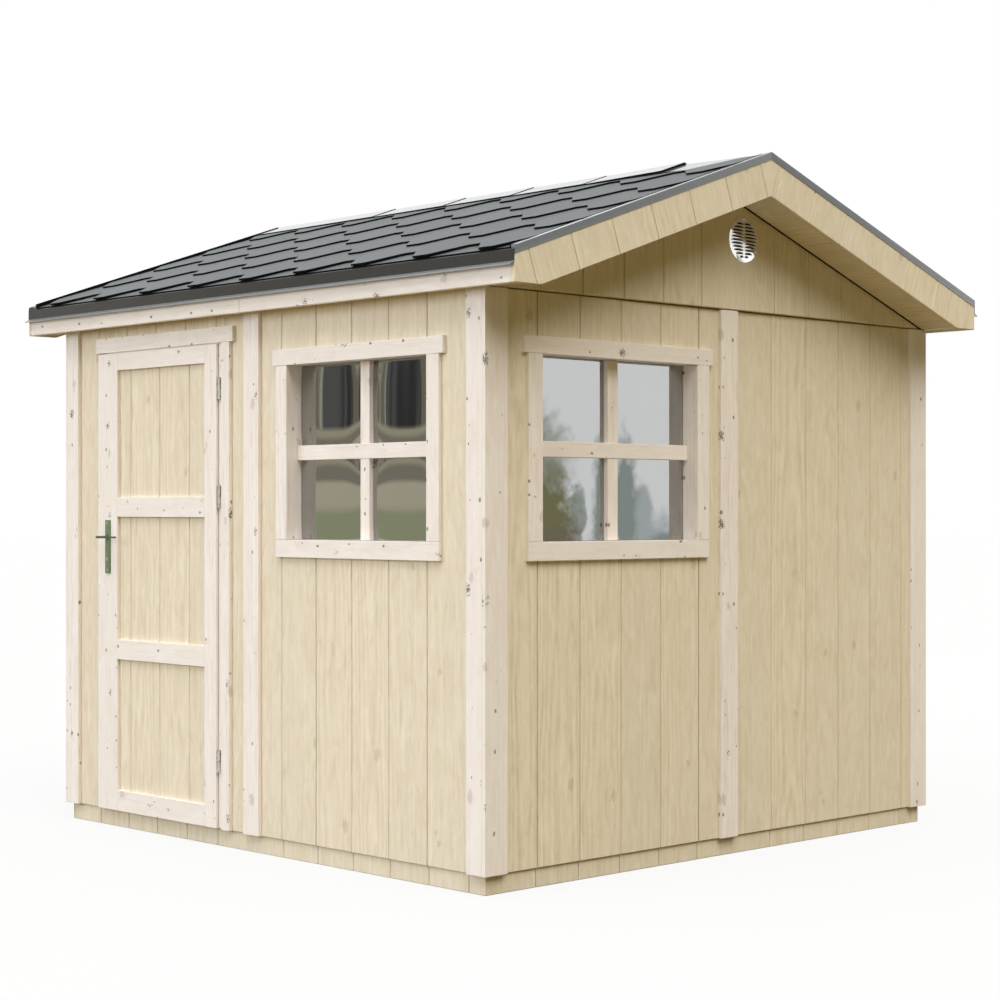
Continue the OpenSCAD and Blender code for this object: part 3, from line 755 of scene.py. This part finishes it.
def shingleCourses(node, side, across):
    chance, pile = random.Random(node), emptyPile()
    sheet, depth, pitch = shingles["sheet"], shingles["tabDepth"], shingles["tabPitch"]
    slant = (pitch - shingles["tabFlat"] - shingles["notchFlat"]) / 2
    lead = shingles["notchFlat"] / 2
    height = shingles["exposure"] + depth + shingles["underlap"]
    rise = sheet / (1 - (depth + shingles["underlap"]) / height)    # so each course clears the one under it
    ends = sorted(end * across.dot(eastward) for end in side["ends"])
    foot = side["foot"] - side["ridge"]
    starter = rectangle(ends[0], ends[1], foot - shingles["starter"][0], foot - shingles["starter"][1])
    sheets = [(starter, 0, 0, foot)]
    for course in range(shingles["courses"]):
        low = foot - shingles["exposure"] * course
        high = max(low - height, shingles["ridgeGap"])
        run = [0, lead, lead + slant, lead + slant + shingles["tabFlat"], pitch - lead, pitch]
        fallTo = [low - depth, low - depth, low, low, low - depth, low - depth]
        for count in range(-1, shingles["tabs"]):
            left = shingles["firstTab"] - slant - lead + pitch * count
            outline = [Vector((left + pitch, high)), Vector((left, high))]
            outline += [Vector((left + x, y)) for x, y in zip(run, fallTo)]
            outline = clipOutline(outline, acrossBoards, ends[0] + shingles["endGap"],
                                  ends[1] - shingles["endGap"])
            if len(outline) > 2:
                sheets.append((outline, low - height, rise, low))
    for outline, high, lift, low in sheets:
        first, count, tone = len(pile["points"]), len(outline), chance.random()
        for over in (sheet, 0):
            for p in outline:
                stand = lift * (p.y - high) / (low - high) + over + shingles["bedGap"]
                pile["points"].append(across * p.x + side["down"] * (side["ridge"] + p.y)
                                      + side["normal"] * (side["bed"] + stand))
                pile["tone"].append(tone)
        top = list(range(first, first + count))
        pile["faces"] += [top, [corner + count for corner in reversed(top)]]
        for here, there in zip(top, top[1:] + top[:1]):
            pile["faces"].append([here, here + count, there + count, there])
        # Edges and undersides take the black finish: the bitumen's black plus painted shade under each
        # course edge
        pile["finish"] += [0] + [1] * (count + 1)
    tidyNormals(makePiece(node + "_courses", pile, [shingleTop, blackEdgeAndShade], "shed", [node]))


shingleCourses("shingles_front", roofSides["front"], eastward)
shingleCourses("shingles_back", roofSides["back"], -eastward)

# Ridge strips bend over the ridge, each lapped over the next one towards +X
ridgeCap = {
    "reach": 132 * mm, "sheet": 12 * mm, "bed": 7 * mm, "lap": 50 * mm, "lapGap": 0.3 * mm, "tip": 2 * mm,
    "ends": (-1362, -587, -160, 224, 609, 995, 1362), "thickTip": 6 * mm, "thickEnd": 995,     # ends in mm
}


def ridgeStrips():
    pile, reach, ends = emptyPile(), ridgeCap["reach"], ridgeCap["ends"]
    section = [(-reach * fall.x, reach * fall.y), (0, 0), (reach * fall.x, reach * fall.y)]
    ring = [0, 1, 2, 5, 4, 3]                 # round one end: three points on top, then three under
    quads = [(a, b, b + 6, a + 6) for a, b in zip(ring, ring[1:] + ring[:1])]
    quads += [(0, 1, 4, 3), (1, 2, 5, 4), (6, 7, 10, 9), (7, 8, 11, 10)]
    for start, end in zip(ends, ends[1:]):
        left = start * mm - (ridgeCap["lap"] if start != ends[0] else 0)
        tip = ridgeCap["thickTip"] if end == ridgeCap["thickEnd"] else ridgeCap["tip"]
        lapped = ridgeCap["sheet"] + ridgeCap["lapGap"] if end != ends[-1] else 0
        first = len(pile["points"])
        for x, lift, sheet in ((left, 0, ridgeCap["sheet"]), (end * mm, lapped, tip)):
            for over in (sheet, 0):
                for y, z in section:
                    pile["points"].append(Vector((x, y, ridgeTop + ridgeCap["bed"] + z + lift + over)))
        pile["faces"] += [[first + corner for corner in quad] for quad in quads]
        # Ends and edges take the black finish, on thick strips so that it also paints the shade under each
        # strip
        pile["finish"] += [0, 0] + [1] * (len(quads) - 2)
    tidyNormals(makePiece("ridge_strips", pile, [ridgeFilm, blackEdgeAndShade], "shed", ["ridge_caps"]))


ridgeStrips()

# Painted shade: black strips turned up inside both verges, taller at the -X end, and black strips on the
# gable boards beside each soffit
vergeShadeStrips = {"width": 7 * mm, "height": {-1: 21 * mm, 1: 13.5 * mm}, "inset": 0.3 * mm, "footGap": 2 * mm,
             "bedGap": 0.5 * mm, "gableShade": 2 * mm}
pile = emptyPile()
for side in roofSides.values():
    for end, height in vergeShadeStrips["height"].items():
        outer = (side["ends"][1] - vergeShadeStrips["inset"]) * end
        inner = outer - vergeShadeStrips["width"] * end
        top, foot = side["ridge"] + vergeShadeStrips["width"], side["foot"] - vergeShadeStrips["footGap"]
        strip = rectangle(outer, inner, top, foot)
        stackSolid(pile, plankSolid(strip, eastward, side["down"], side["normal"], side["bed"] + height,
                                    height - vergeShadeStrips["bedGap"]))
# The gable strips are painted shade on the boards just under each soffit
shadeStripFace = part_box("right_gable")[1].x + vergeShadeStrips["gableShade"]
for end, run in vergeHalves:
    for outline, level, depth in slabOutlines("verge_soffits", end, run, upward):
        if sum(p.x for p in outline) > 0:
            stackSolid(pile, plankSolid(outline, run, upward, end, shadeStripFace, vergeShadeStrips["gableShade"]))
tidyNormals(makePiece("verge_painted_shade_strips", pile, [blackEdgeAndShade], "shed", []))
print("roof covered")

# Steel flashing, folded and painted one anthracite: a darker satin copy at the eaves is painted shade, a
# paler glossier copy at the verge painted light
eavesShadedPaint = speckledMaterial("foldedSteelShadedCopy", {
    "Roughness": 0.42, "IOR": 1.5, "Specular IOR Level": 0.3,
}, ("#262521", "#2f2e2a"), 18, 0.05)
vergeLitPaint = speckledMaterial("foldedSteelLitCopy", {
    "Roughness": 0.3, "IOR": 1.5, "Coat Weight": 1.0, "Coat Roughness": 0.12, "Coat IOR": 1.6,
}, ("#464c4f", "#545a5d"), 18, 0.04)
# Steel drip lip: pale and faintly mottled, a painted highlight where the fold catches the light
dripLipHighlight = speckledMaterial("dripLipPaintedHighlight", {"Metallic": 1.0, "Roughness": 0.4},
                            ("#9a9fa1", "#b4b8ba"), 12, 0.05)
# Zinc-plated steel, pressed and brushed: small grey hinges with bright edges, mottled from dark grey to
# near white as painted glints and shade
zincSteelWithGlints = speckledMaterial("brushedZincPaintedGlints", {"Metallic": 1.0, "Roughness": 0.3},
                             ("#7f7b72", "#f4f1ea"), 10, 0.15)
# Handle: a muted green plate and a dark olive lever with a soft shine
plateGreen = speckledMaterial("handlePlateGreen", {"Roughness": 0.42, "IOR": 1.5},
                             ("#5b7252", "#69835f"), 5, 0.1)
darkOlive = speckledMaterial("handleLeverOlive", {"Roughness": 0.38, "IOR": 1.5},
                             ("#45443a", "#57554a"), 5, 0.1)
# Aluminium, stamped and polished: mirrors the shaded boards above and the white floor below
ventMetal = speckledMaterial("stampedAluminium", {"Metallic": 1.0, "Roughness": 0.09},
                             ("#d9d8d5", "#e8e7e4"), 8, 0.01)
# Slot behind the louvres: painted shade, a black sheet where the opening under each hood is dark
ventSlotShade = speckledMaterial("ventSlotPaintedShade", {"Roughness": 0.9, "Specular IOR Level": 0.1},
                             ("#0d0c0a", "#1a1815"), 9, 0.1)

# Metal keeps its CAD shape: edges are eased so that they catch the light
metalwork = {"eavesEase": 0.6 * mm, "vergeEase": 0.9 * mm, "hingeEase": 0.5 * mm, "smooth": 30,
             "lipOut": 1193 * mm, "lipBelow": 1936.5 * mm}


def dressMetal(node, materials, body, ease, finishOf=None):
    pile = emptyPile(metalwork["smooth"])
    for solid in weldedSolids(node):
        easeEdges(solid, ease, 2)
        if finishOf:
            pile["finish"] += [finishOf(face.calc_center_median()) for face in solid.faces]
        stackSolid(pile, solid)
    return makePiece(node + "_metal", pile, materials, body, [node])


# Lip faces take the pale finish, a painted highlight where the fold catches the light
def lipHighlightFaces(place):
    return int(abs(place.y) > metalwork["lipOut"] and place.z < metalwork["lipBelow"])


def slimPiece(piece, axis, share, core=0):
    # a little slimmer than its solid, about the same middle; what lies within the core stays
    places = [vert.co[axis] for vert in piece.data.vertices]
    middle = (min(places) + max(places)) / 2
    for vert in piece.data.vertices:
        off = vert.co[axis] - middle
        if abs(off) > core:
            vert.co[axis] = middle + off * share


dressMetal("eaves_trim", [eavesShadedPaint, dripLipHighlight], "shed", metalwork["eavesEase"], lipHighlightFaces)
dressMetal("verge_trim", [vergeLitPaint], "shed", metalwork["vergeEase"])
dressMetal("frame_hinges", [zincSteelWithGlints], "shed", metalwork["hingeEase"])
dressMetal("door_hinges", [zincSteelWithGlints], "door", metalwork["hingeEase"])

# Handle: a narrow long plate with a slim lever, a lock barrel and two fixing screws
handle = {
    "plateEase": 1.2 * mm, "plateShare": 0.82, "plateCore": 11 * mm,
    "leverEase": 2.2 * mm, "leverShare": 0.6,
    "lockHeight": 1007 * mm, "lockRadius": 8 * mm, "lockProud": 2.5 * mm, "lockSteps": 24,
    "barrel": ((1, -0.4), (1, 0.6), (0.88, 1), (0.3, 1), (0.26, 0.5)),        # shares of radius and height
    "screwRadius": 3.2 * mm, "screwInset": 12 * mm, "screwSteps": 16,
    "screw": ((1, -0.5), (1, 0.4), (0.6, 1.3), (0.2, 1.5)),                   # share of radius, mm
    "smooth": 40,
}
plate = dressMetal("handle_plate", [plateGreen], "door", handle["plateEase"])
slimPiece(plate, 0, handle["plateShare"], handle["plateCore"])
lever = dressMetal("handle_lever", [darkOlive], "lever", handle["leverEase"])
slimPiece(lever, 2, handle["leverShare"])


# Turned shapes: a profile of (radius, height) spun about an axis through a point
def spinProfile(pile, profile, centre, axis, steps):
    sideways = axis.cross(upward).normalized()
    rise = sideways.cross(axis)
    first, rows = len(pile["points"]), len(profile)
    for step in range(steps):
        angle = 2 * math.pi * step / steps
        out = sideways * math.cos(angle) + rise * math.sin(angle)
        pile["points"] += [centre + out * radius + axis * height for radius, height in profile]
    for step in range(steps):
        here, there = first + step * rows, first + (step + 1) % steps * rows
        for row in range(rows - 1):
            pile["faces"].append([here + row, there + row, there + row + 1, here + row + 1])
    for row, order in ((0, 1), (rows - 1, -1)):
        pile["faces"].append([first + step * rows + row for step in range(steps)][::order])
    pile["finish"] += [0] * (steps * (rows - 1) + 2)


pile = emptyPile(handle["smooth"])
plateLow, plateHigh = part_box("handle_plate")
plateMiddle = (plateLow.x + plateHigh.x) / 2
barrel = [(handle["lockRadius"] * wide, handle["lockProud"] * tall) for wide, tall in handle["barrel"]]
lockPlace = Vector((plateMiddle, plateLow.y, handle["lockHeight"]))
spinProfile(pile, barrel, lockPlace, southward, handle["lockSteps"])
screw = [(handle["screwRadius"] * wide, tall * mm) for wide, tall in handle["screw"]]
for z in (plateLow.z + handle["screwInset"], plateHigh.z - handle["screwInset"]):
    spinProfile(pile, screw, Vector((plateMiddle, plateLow.y, z)), southward, handle["screwSteps"])
tidyNormals(makePiece("handle_lock", pile, [zincSteelWithGlints], "door", []))

# Round vents: a stamped plate with two ranks of louvres, a rolled rim and three screws
vent = {
    "plate": 3.5 * mm, "plateSteps": 64, "rim": 0.8 * mm, "rimEase": 0.3, "hub": 0.3, "smooth": 35,
    "rows": 11, "rowPitch": 11.5 * mm, "rib": 2.2 * mm, "margin": 9 * mm, "steps": 8, "rolls": 4,
    "hood": 3.4 * mm, "hoodRise": 1.2 * mm, "hoodSpan": (0.45, 0.55), "hoodLift": 0.1 * mm,
    "slot": 7 * mm, "slotDrop": 0.8 * mm, "slotShare": 0.8, "slotLeast": 0.2 * mm, "slotLift": 0.15 * mm,
    "blunt": 0.02, "fullness": 0.6,
    "screwRadius": 2.4 * mm, "screwInset": 3 * mm, "screwBearings": (90, 210, 330), "screwSteps": 12,
    "screw": ((1, -0.2), (1, 0.3), (0.5, 1.1), (0.1, 1.2)),                   # share of radius, mm
}


def louvreRank(pile, centre, outward, across, low, left, right):
    # a hood pressed out over a slot of painted shade, thickest in the middle of its length
    steps, rolls, slot = vent["steps"], vent["rolls"], vent["slot"]
    spine = []
    for step in range(steps + 1):
        share = step / steps
        swell = math.sin(math.pi * min(max(share, vent["blunt"]), 1 - vent["blunt"])) ** vent["fullness"]
        spine.append((centre + across * (left + (right - left) * share), swell))
    first = len(pile["points"])
    for spot, swell in spine:
        for roll in range(rolls + 1):
            turn = math.pi / 2 * roll / rolls
            height = vent["hoodSpan"][0] + vent["hoodSpan"][1] * swell * math.cos(turn)
            z = low + slot * height + vent["hoodRise"]
            stand = vent["hood"] * swell * math.sin(turn) + vent["hoodLift"]
            pile["points"].append(spot + upward * z + outward * stand)
    for step in range(steps):
        for roll in range(rolls):
            a, b = first + step * (rolls + 1) + roll, first + (step + 1) * (rolls + 1) + roll
            pile["faces"].append([a, b, b + 1, a + 1])
            pile["finish"].append(0)
    first = len(pile["points"])
    for spot, swell in spine:
        top = low + slot * vent["slotShare"] * swell + vent["slotLeast"]
        for z in (low - vent["slotDrop"] * swell, top):
            pile["points"].append(spot + upward * z + outward * vent["slotLift"])
    for step in range(steps):
        a = first + 2 * step
        pile["faces"].append([a, a + 2, a + 3, a + 1])
        pile["finish"].append(1)


def gableVents():
    pile = emptyPile(vent["smooth"])
    low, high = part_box("gable_vents")
    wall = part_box("right_gable")[1].x
    radius, rim, plate, size = (high.z - low.z) / 2, vent["rim"], vent["plate"], vent["screwRadius"]
    eased = rim * vent["rimEase"]
    disc = [(radius, 0), (radius, plate - rim), (radius - eased, plate - eased), (radius - rim, plate),
            (radius * vent["hub"], plate)]
    screw = [(size * wide, tall * mm) for wide, tall in vent["screw"]]
    for outward in (eastward, -eastward):
        across = upward.cross(outward)
        centre = Vector((wall * outward.x, (low.y + high.y) / 2, (low.z + high.z) / 2))
        spinProfile(pile, disc, centre, outward, vent["plateSteps"])
        face = centre + outward * plate
        for row in range(vent["rows"]):
            z = (row - (vent["rows"] - 1) / 2) * vent["rowPitch"] - vent["slot"] / 2
            reach = math.sqrt(max((radius - vent["margin"]) ** 2 - (abs(z) + vent["slot"] / 2) ** 2, 0))
            if reach > vent["rib"] * 4:
                louvreRank(pile, face, outward, across, z, -reach, -vent["rib"])
                louvreRank(pile, face, outward, across, z, vent["rib"], reach)
        for bearing in vent["screwBearings"]:
            angle = math.radians(bearing)
            way = across * math.cos(angle) + upward * math.sin(angle)
            spot = face + way * (radius - vent["screwInset"] - size)
            spinProfile(pile, screw, spot, outward, vent["screwSteps"])
    finishes = [ventMetal, ventSlotShade]
    tidyNormals(makePiece("vent_louvres", pile, finishes, "shed", ["gable_vents"]))


gableVents()

# Acrylic glazing, cast and filmed: half mirror, half smoky, each pane slightly pillowed
glazing, tree, surface = newMaterial("filmedCastAcrylic", {
    "Roughness": 0.01, "IOR": 1.49, "Transmission Weight": 1.0, "Metallic": 0.42,
    "Base Color": hexToLinear("#f4f6f6"),
})
smoke = addNode(tree, "ShaderNodeVolumeAbsorption", {"Color": hexToLinear("#101110"), "Density": 160})
tree.links.new(smoke.outputs["Volume"], tree.nodes["Material Output"].inputs["Volume"])
panes = {
    "bulge": {"front_window": 11 * mm, "side_window": 0.5 * mm}, "corner": 0.6, "level": 0.05,
    "lip": {"front_window": 4 * mm, "side_window": 0}, "lipShare": 0.22,
    "steps": 40, "hidden": 4 * mm, "forward": 8 * mm, "sheet": 12 * mm, "smooth": 30,
}


def paneCrown(window, u, v):
    drop = u ** 4 * (1 + panes["corner"] * abs(v) ** 3) / (1 + panes["corner"])
    crown = 1 - drop - panes["level"] * (v ** 4 - u ** 4 * v ** 4)
    curl = max(0, (abs(u) - 1) / panes["lipShare"] + 1)
    return panes["bulge"][window] * crown - panes["lip"][window] * (1 - curl ** 2)


def windowPanes(window, outward, across):
    left, right, foot, head = clearOpening(window, across)
    face = spanAlong(window + "_glass", outward)[1] + panes["forward"]
    middle, bar = (left + right) / 2, bars["width"] / 2 - panes["hidden"]
    runs = [(left, middle - bar), (middle + bar, right)]
    rises = [(foot, bars["crossLow"] + panes["hidden"]), (bars["crossHigh"] - panes["hidden"], head)]
    pile, steps = emptyPile(panes["smooth"]), panes["steps"]
    wide = steps + 1
    ticks = [2 * at / steps - 1 for at in range(wide)]
    rim = list(range(wide))
    rim += [row * wide + steps for row in range(1, wide)]
    rim += [steps * wide + column for column in range(steps - 1, -1, -1)]
    rim += [row * wide for row in range(steps - 1, 0, -1)]
    for (start, end), (bottom, top) in [(run, rise) for run in runs for rise in rises]:
        first = len(pile["points"])
        back = first + wide ** 2
        for behind in (False, True):
            for v in ticks:
                for u in ticks:
                    stand = -panes["sheet"] if behind else paneCrown(window, u, v)
                    run, z = start + (end - start) * (u + 1) / 2, bottom + (top - bottom) * (v + 1) / 2
                    pile["points"].append(across * run + upward * z + outward * (face + stand))
        for row in range(steps):
            for column in range(steps):
                a, b = first + row * wide + column, back + row * wide + column
                pile["faces"] += [[a, a + 1, a + wide + 1, a + wide], [b, b + wide, b + wide + 1, b + 1]]
        for here, there in zip(rim, rim[1:] + rim[:1]):
            pile["faces"].append([first + here, back + here, back + there, first + there])
    tidyNormals(makePiece(window + "_panes", pile, [glazing], "shed", [window + "_glass"]))


windowPanes("front_window", southward, eastward)
windowPanes("side_window", eastward, -southward)
print("metal, coats and glass finished")

# Stage: white to the eye and to mirrors, with a soft high sky
# A cool key and a warm fill light the front, and a third lamp the gable
stage = {
    "sky": 2.35,                          # strength of the bright band of sky
    "skyBand": ((0.0, "#1e1900"), (0.56, "#3c3406"), (0.77, "#ffffff"), (0.94, "#ffffff"),
                (1.0, "#e7e7e7")),
    "lamps": {                            # strength, direction it comes from, width in degrees, colour
        "keyLamp": (1.7, (-0.4, -0.9, 0.24), 44, "#eaf2ff"),
        "fillLamp": (0.75, (0.14, -0.96, 0.22), 44, "#f8f2e6"),
        "gableLamp": (1.75, (0.75, -0.2, 0.9), 44, "#fffaec"),
    },
    "white": "#ffffff", "floorSeen": "#c0c0c0", "floorGlow": 0.86, "floorBounce": "#5f4e00",
    "floorSize": 160,
}
world = bpy.data.worlds.new("studioWorld")
bpy.context.scene.world = world
world.use_nodes = True
tree = world.node_tree
tree.nodes.clear()
rays = addNode(tree, "ShaderNodeLightPath")
seen = addNode(tree, "ShaderNodeMath", {"operation": "MAXIMUM"},
               {0: rays.outputs["Is Camera Ray"], 1: rays.outputs["Is Glossy Ray"]})
shown = addNode(tree, "ShaderNodeMath", {"operation": "MAXIMUM"},
                {0: seen.outputs[0], 1: rays.outputs["Is Transmission Ray"]})
toward = addNode(tree, "ShaderNodeTexCoord")
parts = addNode(tree, "ShaderNodeSeparateXYZ", {}, {0: toward.outputs["Generated"]})
band = addNode(tree, "ShaderNodeValToRGB", {}, {"Fac": parts.outputs["Z"]})
fillRamp(band.color_ramp, stage["skyBand"])
soft = addNode(tree, "ShaderNodeBackground", {"Strength": stage["sky"]}, {"Color": band.outputs["Color"]})
white = addNode(tree, "ShaderNodeBackground", {"Color": hexToLinear(stage["white"]), "Strength": 1.0})
either = addNode(tree, "ShaderNodeMixShader", {},
                 {0: shown.outputs[0], 1: soft.outputs[0], 2: white.outputs[0]})
addNode(tree, "ShaderNodeOutputWorld", {}, {"Surface": either.outputs[0]})

for name, (strength, source, wide, colour) in stage["lamps"].items():
    lamp = bpy.data.lights.new(name, "SUN")
    lamp.energy = strength
    lamp.angle = math.radians(wide)
    lamp.color = hexToLinear(colour)[:3]
    sun = bpy.data.objects.new(name, lamp)
    sun.rotation_euler = Vector(source).to_track_quat("Z", "Y").to_euler()
    sun.visible_glossy = False
    bpy.context.scene.collection.objects.link(sun)

floorMesh = bpy.data.meshes.new("studioFloor")
reach = stage["floorSize"] / 2
floorMesh.from_pydata([(p.x, p.y, 0) for p in rectangle(-reach, reach, -reach, reach)], [], [(0, 1, 2, 3)])
studioFloor = bpy.data.objects.new("studioFloor", floorMesh)
bpy.context.scene.collection.objects.link(studioFloor)
floorPaint, tree, surface = newMaterial("paleStudioPaint", {"Roughness": 0.9})
rays = addNode(tree, "ShaderNodeLightPath")
paint = addNode(tree, "ShaderNodeMix", {
    "data_type": "RGBA", 6: hexToLinear(stage["floorBounce"]), 7: hexToLinear(stage["floorSeen"]),
}, {0: rays.outputs["Is Camera Ray"]})
tree.links.new(paint.outputs[2], surface.inputs["Base Color"])
glow = addNode(tree, "ShaderNodeEmission", {"Color": hexToLinear(stage["white"]), "Strength": 1.0})
mirrored = addNode(tree, "ShaderNodeMath", {"operation": "MAXIMUM"},
                   {0: rays.outputs["Is Glossy Ray"], 1: rays.outputs["Is Transmission Ray"]})
share = addNode(tree, "ShaderNodeMath", {"operation": "MULTIPLY_ADD", 1: stage["floorGlow"]},
                {0: rays.outputs["Is Camera Ray"], 2: mirrored.outputs[0]})
laid = addNode(tree, "ShaderNodeMixShader", {},
               {0: share.outputs[0], 1: surface.outputs[0], 2: glow.outputs[0]})
tree.links.new(laid.outputs[0], tree.nodes["Material Output"].inputs["Surface"])
floorMesh.materials.append(floorPaint)

# Curved screens that only mirrors see, for what the two windows reflect
screens = {"reach": 8.5, "spread": 75, "steps": 30, "daylight": 1.33}     # brighter than studio white


def screenMaterial(name, turn):
    material = bpy.data.materials.new(name)
    material.use_nodes = True
    tree = material.node_tree
    tree.nodes.clear()
    place = addNode(tree, "ShaderNodeTexCoord")
    turned = addNode(tree, "ShaderNodeMapping", {"Rotation": (0, 0, -math.radians(turn))},
                     {"Vector": place.outputs["Object"]})
    return material, tree, turned.outputs["Vector"]


def hangScreen(name, look, material, colour):
    tree = material.node_tree
    glow = addNode(tree, "ShaderNodeEmission", {"Strength": screens["daylight"]}, {"Color": colour})
    addNode(tree, "ShaderNodeOutputMaterial", {}, {"Surface": glow.outputs[0]})
    points, steps = [], screens["steps"]
    for step in range(steps + 1):
        angle = math.radians(look["bearing"] + screens["spread"] * (2 * step / steps - 1))
        x, y = screens["reach"] * math.cos(angle), screens["reach"] * math.sin(angle)
        points += [(x, y, 0), (x, y, look["height"])]
    mesh = bpy.data.meshes.new(name)
    mesh.from_pydata(points, [], [(2 * at, 2 * at + 2, 2 * at + 3, 2 * at + 1) for at in range(steps)])
    mesh.materials.append(material)
    screen = bpy.data.objects.new(name, mesh)
    bpy.context.scene.collection.objects.link(screen)
    screen.visible_camera = False
    screen.visible_diffuse = False
    screen.visible_shadow = False
    screen.visible_transmission = False


# The front panes mirror level bands and a dark block with paler sides
frontScreen = {
    "bands": ((0.0, "#a3a787"), (1.15, "#a3a787"), (1.23, "#c3bba5"), (1.39, "#c3bba5"), (1.44, "#8e887a"),
              (1.58, "#8e887a"), (1.66, "#b0a992"), (1.71, "#b0a992"), (1.76, "#8f8d78"), (2.4, "#98967f")),
    "turn": 227.3, "bearing": 219, "height": 2.8,
    "block": (-0.45, 0.68), "blockFoot": (1.71, 1.77), "soft": 0.07, "blockColours": ("#3c3c3c", "#605f5d"),
    "sideColours": ("#7d7868", "#b3b0a0"), "streakMm": 260, "streaks": (0.42, 0.66), "drawnOut": 0.05,
}
frontBackdrop, tree, turned = screenMaterial("frontReflection", frontScreen["turn"])
parts = addNode(tree, "ShaderNodeSeparateXYZ", {}, {0: turned})
screenTop = frontScreen["height"]
level = addNode(tree, "ShaderNodeMapRange", {"From Max": screenTop}, {"Value": parts.outputs["Z"]})
bands = addNode(tree, "ShaderNodeValToRGB", {}, {"Fac": level.outputs["Result"]})
fillRamp(bands.color_ramp, [(height / screenTop, colour) for height, colour in frontScreen["bands"]])
upright = addNode(tree, "ShaderNodeMapping", {"Scale": (1, 1, frontScreen["drawnOut"])}, {"Vector": turned})
streaks = addNode(tree, "ShaderNodeTexNoise", {"Scale": 1 / (frontScreen["streakMm"] * mm), "Detail": 2},
                  {"Vector": upright.outputs["Vector"]})
streaky = addNode(tree, "ShaderNodeMapRange", {
    "From Min": frontScreen["streaks"][0], "From Max": frontScreen["streaks"][1],
}, {"Value": streaks.outputs["Fac"]})
block, flanks = [
    addNode(tree, "ShaderNodeMix", {"data_type": "RGBA", 6: hexToLinear(dark), 7: hexToLinear(pale)},
            {0: streaky.outputs["Result"]}).outputs[2]
    for dark, pale in (frontScreen["blockColours"], frontScreen["sideColours"])
]
fromRight, fromLeft, overFoot = [
    addNode(tree, "ShaderNodeMapRange", {"From Min": low, "From Max": high},
            {"Value": parts.outputs[axis]}).outputs[0]
    for axis, low, high in (
        ("Y", frontScreen["block"][0], frontScreen["block"][0] + frontScreen["soft"]),
        ("Y", frontScreen["block"][1], frontScreen["block"][1] - frontScreen["soft"]),
        ("Z", frontScreen["blockFoot"][0], frontScreen["blockFoot"][1]),
    )
]
between = addNode(tree, "ShaderNodeMath", {"operation": "MULTIPLY"}, {0: fromRight, 1: fromLeft})
stands = addNode(tree, "ShaderNodeMath", {"operation": "MULTIPLY"}, {0: between.outputs[0], 1: overFoot})
beside = addNode(tree, "ShaderNodeMix", {"data_type": "RGBA"},
                 {0: overFoot, 6: bands.outputs["Color"], 7: flanks})
mixed = addNode(tree, "ShaderNodeMix", {"data_type": "RGBA"},
                {0: stands.outputs[0], 6: beside.outputs[2], 7: block})
hangScreen("frontReflectionScreen", frontScreen, frontBackdrop, mixed.outputs[2])

# The side panes mirror white with soft grey and olive patches
sideScreen = {
    "ground": "#ffffff", "turn": 37.5, "bearing": 45.5, "height": 2.4,
    "mottleMm": 100, "mottleShare": 0.75, "patchEdge": 0.58,
    "patches": (   # place along the screen, height, reach each way in metres, edge, colour
        (0.3, 0.9, 0.6, 0.42, 0.4, "#c4cbcb"),
        (0.46, 0.92, 0.24, 0.2, 0.3, "#a3abab"),
        (-0.52, 1.48, 0.42, 0.62, 0.4, "#b1b5aa"),
        (0.24, 1.2, 0.14, 0.28, 0.3, "#c4cbcb"),
        (0.08, 1.2, 0.2, 0.8, 0.35, "#a2aba6"),
        (-0.19, 1.18, 0.1, 0.28, 0.25, "#b4bcb9"),
        (-0.5, 1.02, 0.46, 0.78, 0.35, "#898563"),
        (-0.42, 0.84, 0.45, 0.36, 0.3, "#877f6b"),
    ),
}
sideBackdrop, tree, turned = screenMaterial("sideReflection", sideScreen["turn"])
mottle = addNode(tree, "ShaderNodeTexNoise", {
    "Scale": 1 / (sideScreen["mottleMm"] * mm), "Detail": 5, "Roughness": 0.6,
}, {"Vector": turned})
scenery = addNode(tree, "ShaderNodeRGB").outputs[0]
scenery.default_value = hexToLinear(sideScreen["ground"])
for along, height, wide, tall, edge, colour in sideScreen["patches"]:
    drawn = addNode(tree, "ShaderNodeMapping", {
        "Location": (0, -along / wide, -height / tall), "Scale": (0, 1 / wide, 1 / tall),
    }, {"Vector": turned})
    crown = addNode(tree, "ShaderNodeTexGradient", {"gradient_type": "SPHERICAL"},
                    {"Vector": drawn.outputs["Vector"]})
    ragged = addNode(tree, "ShaderNodeMath", {"operation": "MULTIPLY_ADD", 1: sideScreen["mottleShare"]},
                     {0: mottle.outputs["Fac"], 2: crown.outputs["Fac"]})
    cover = addNode(tree, "ShaderNodeMapRange", {
        "From Min": sideScreen["patchEdge"], "From Max": sideScreen["patchEdge"] + edge,
    }, {"Value": ragged.outputs[0]})
    scenery = addNode(tree, "ShaderNodeMix", {"data_type": "RGBA", 7: hexToLinear(colour)},
                      {0: cover.outputs["Result"], 6: scenery}).outputs[2]
hangScreen("sideReflectionScreen", sideScreen, sideBackdrop, scenery)
bpy.context.scene.view_settings.view_transform = "Standard"
print("stage lit")

bpy.context.view_layer.update()
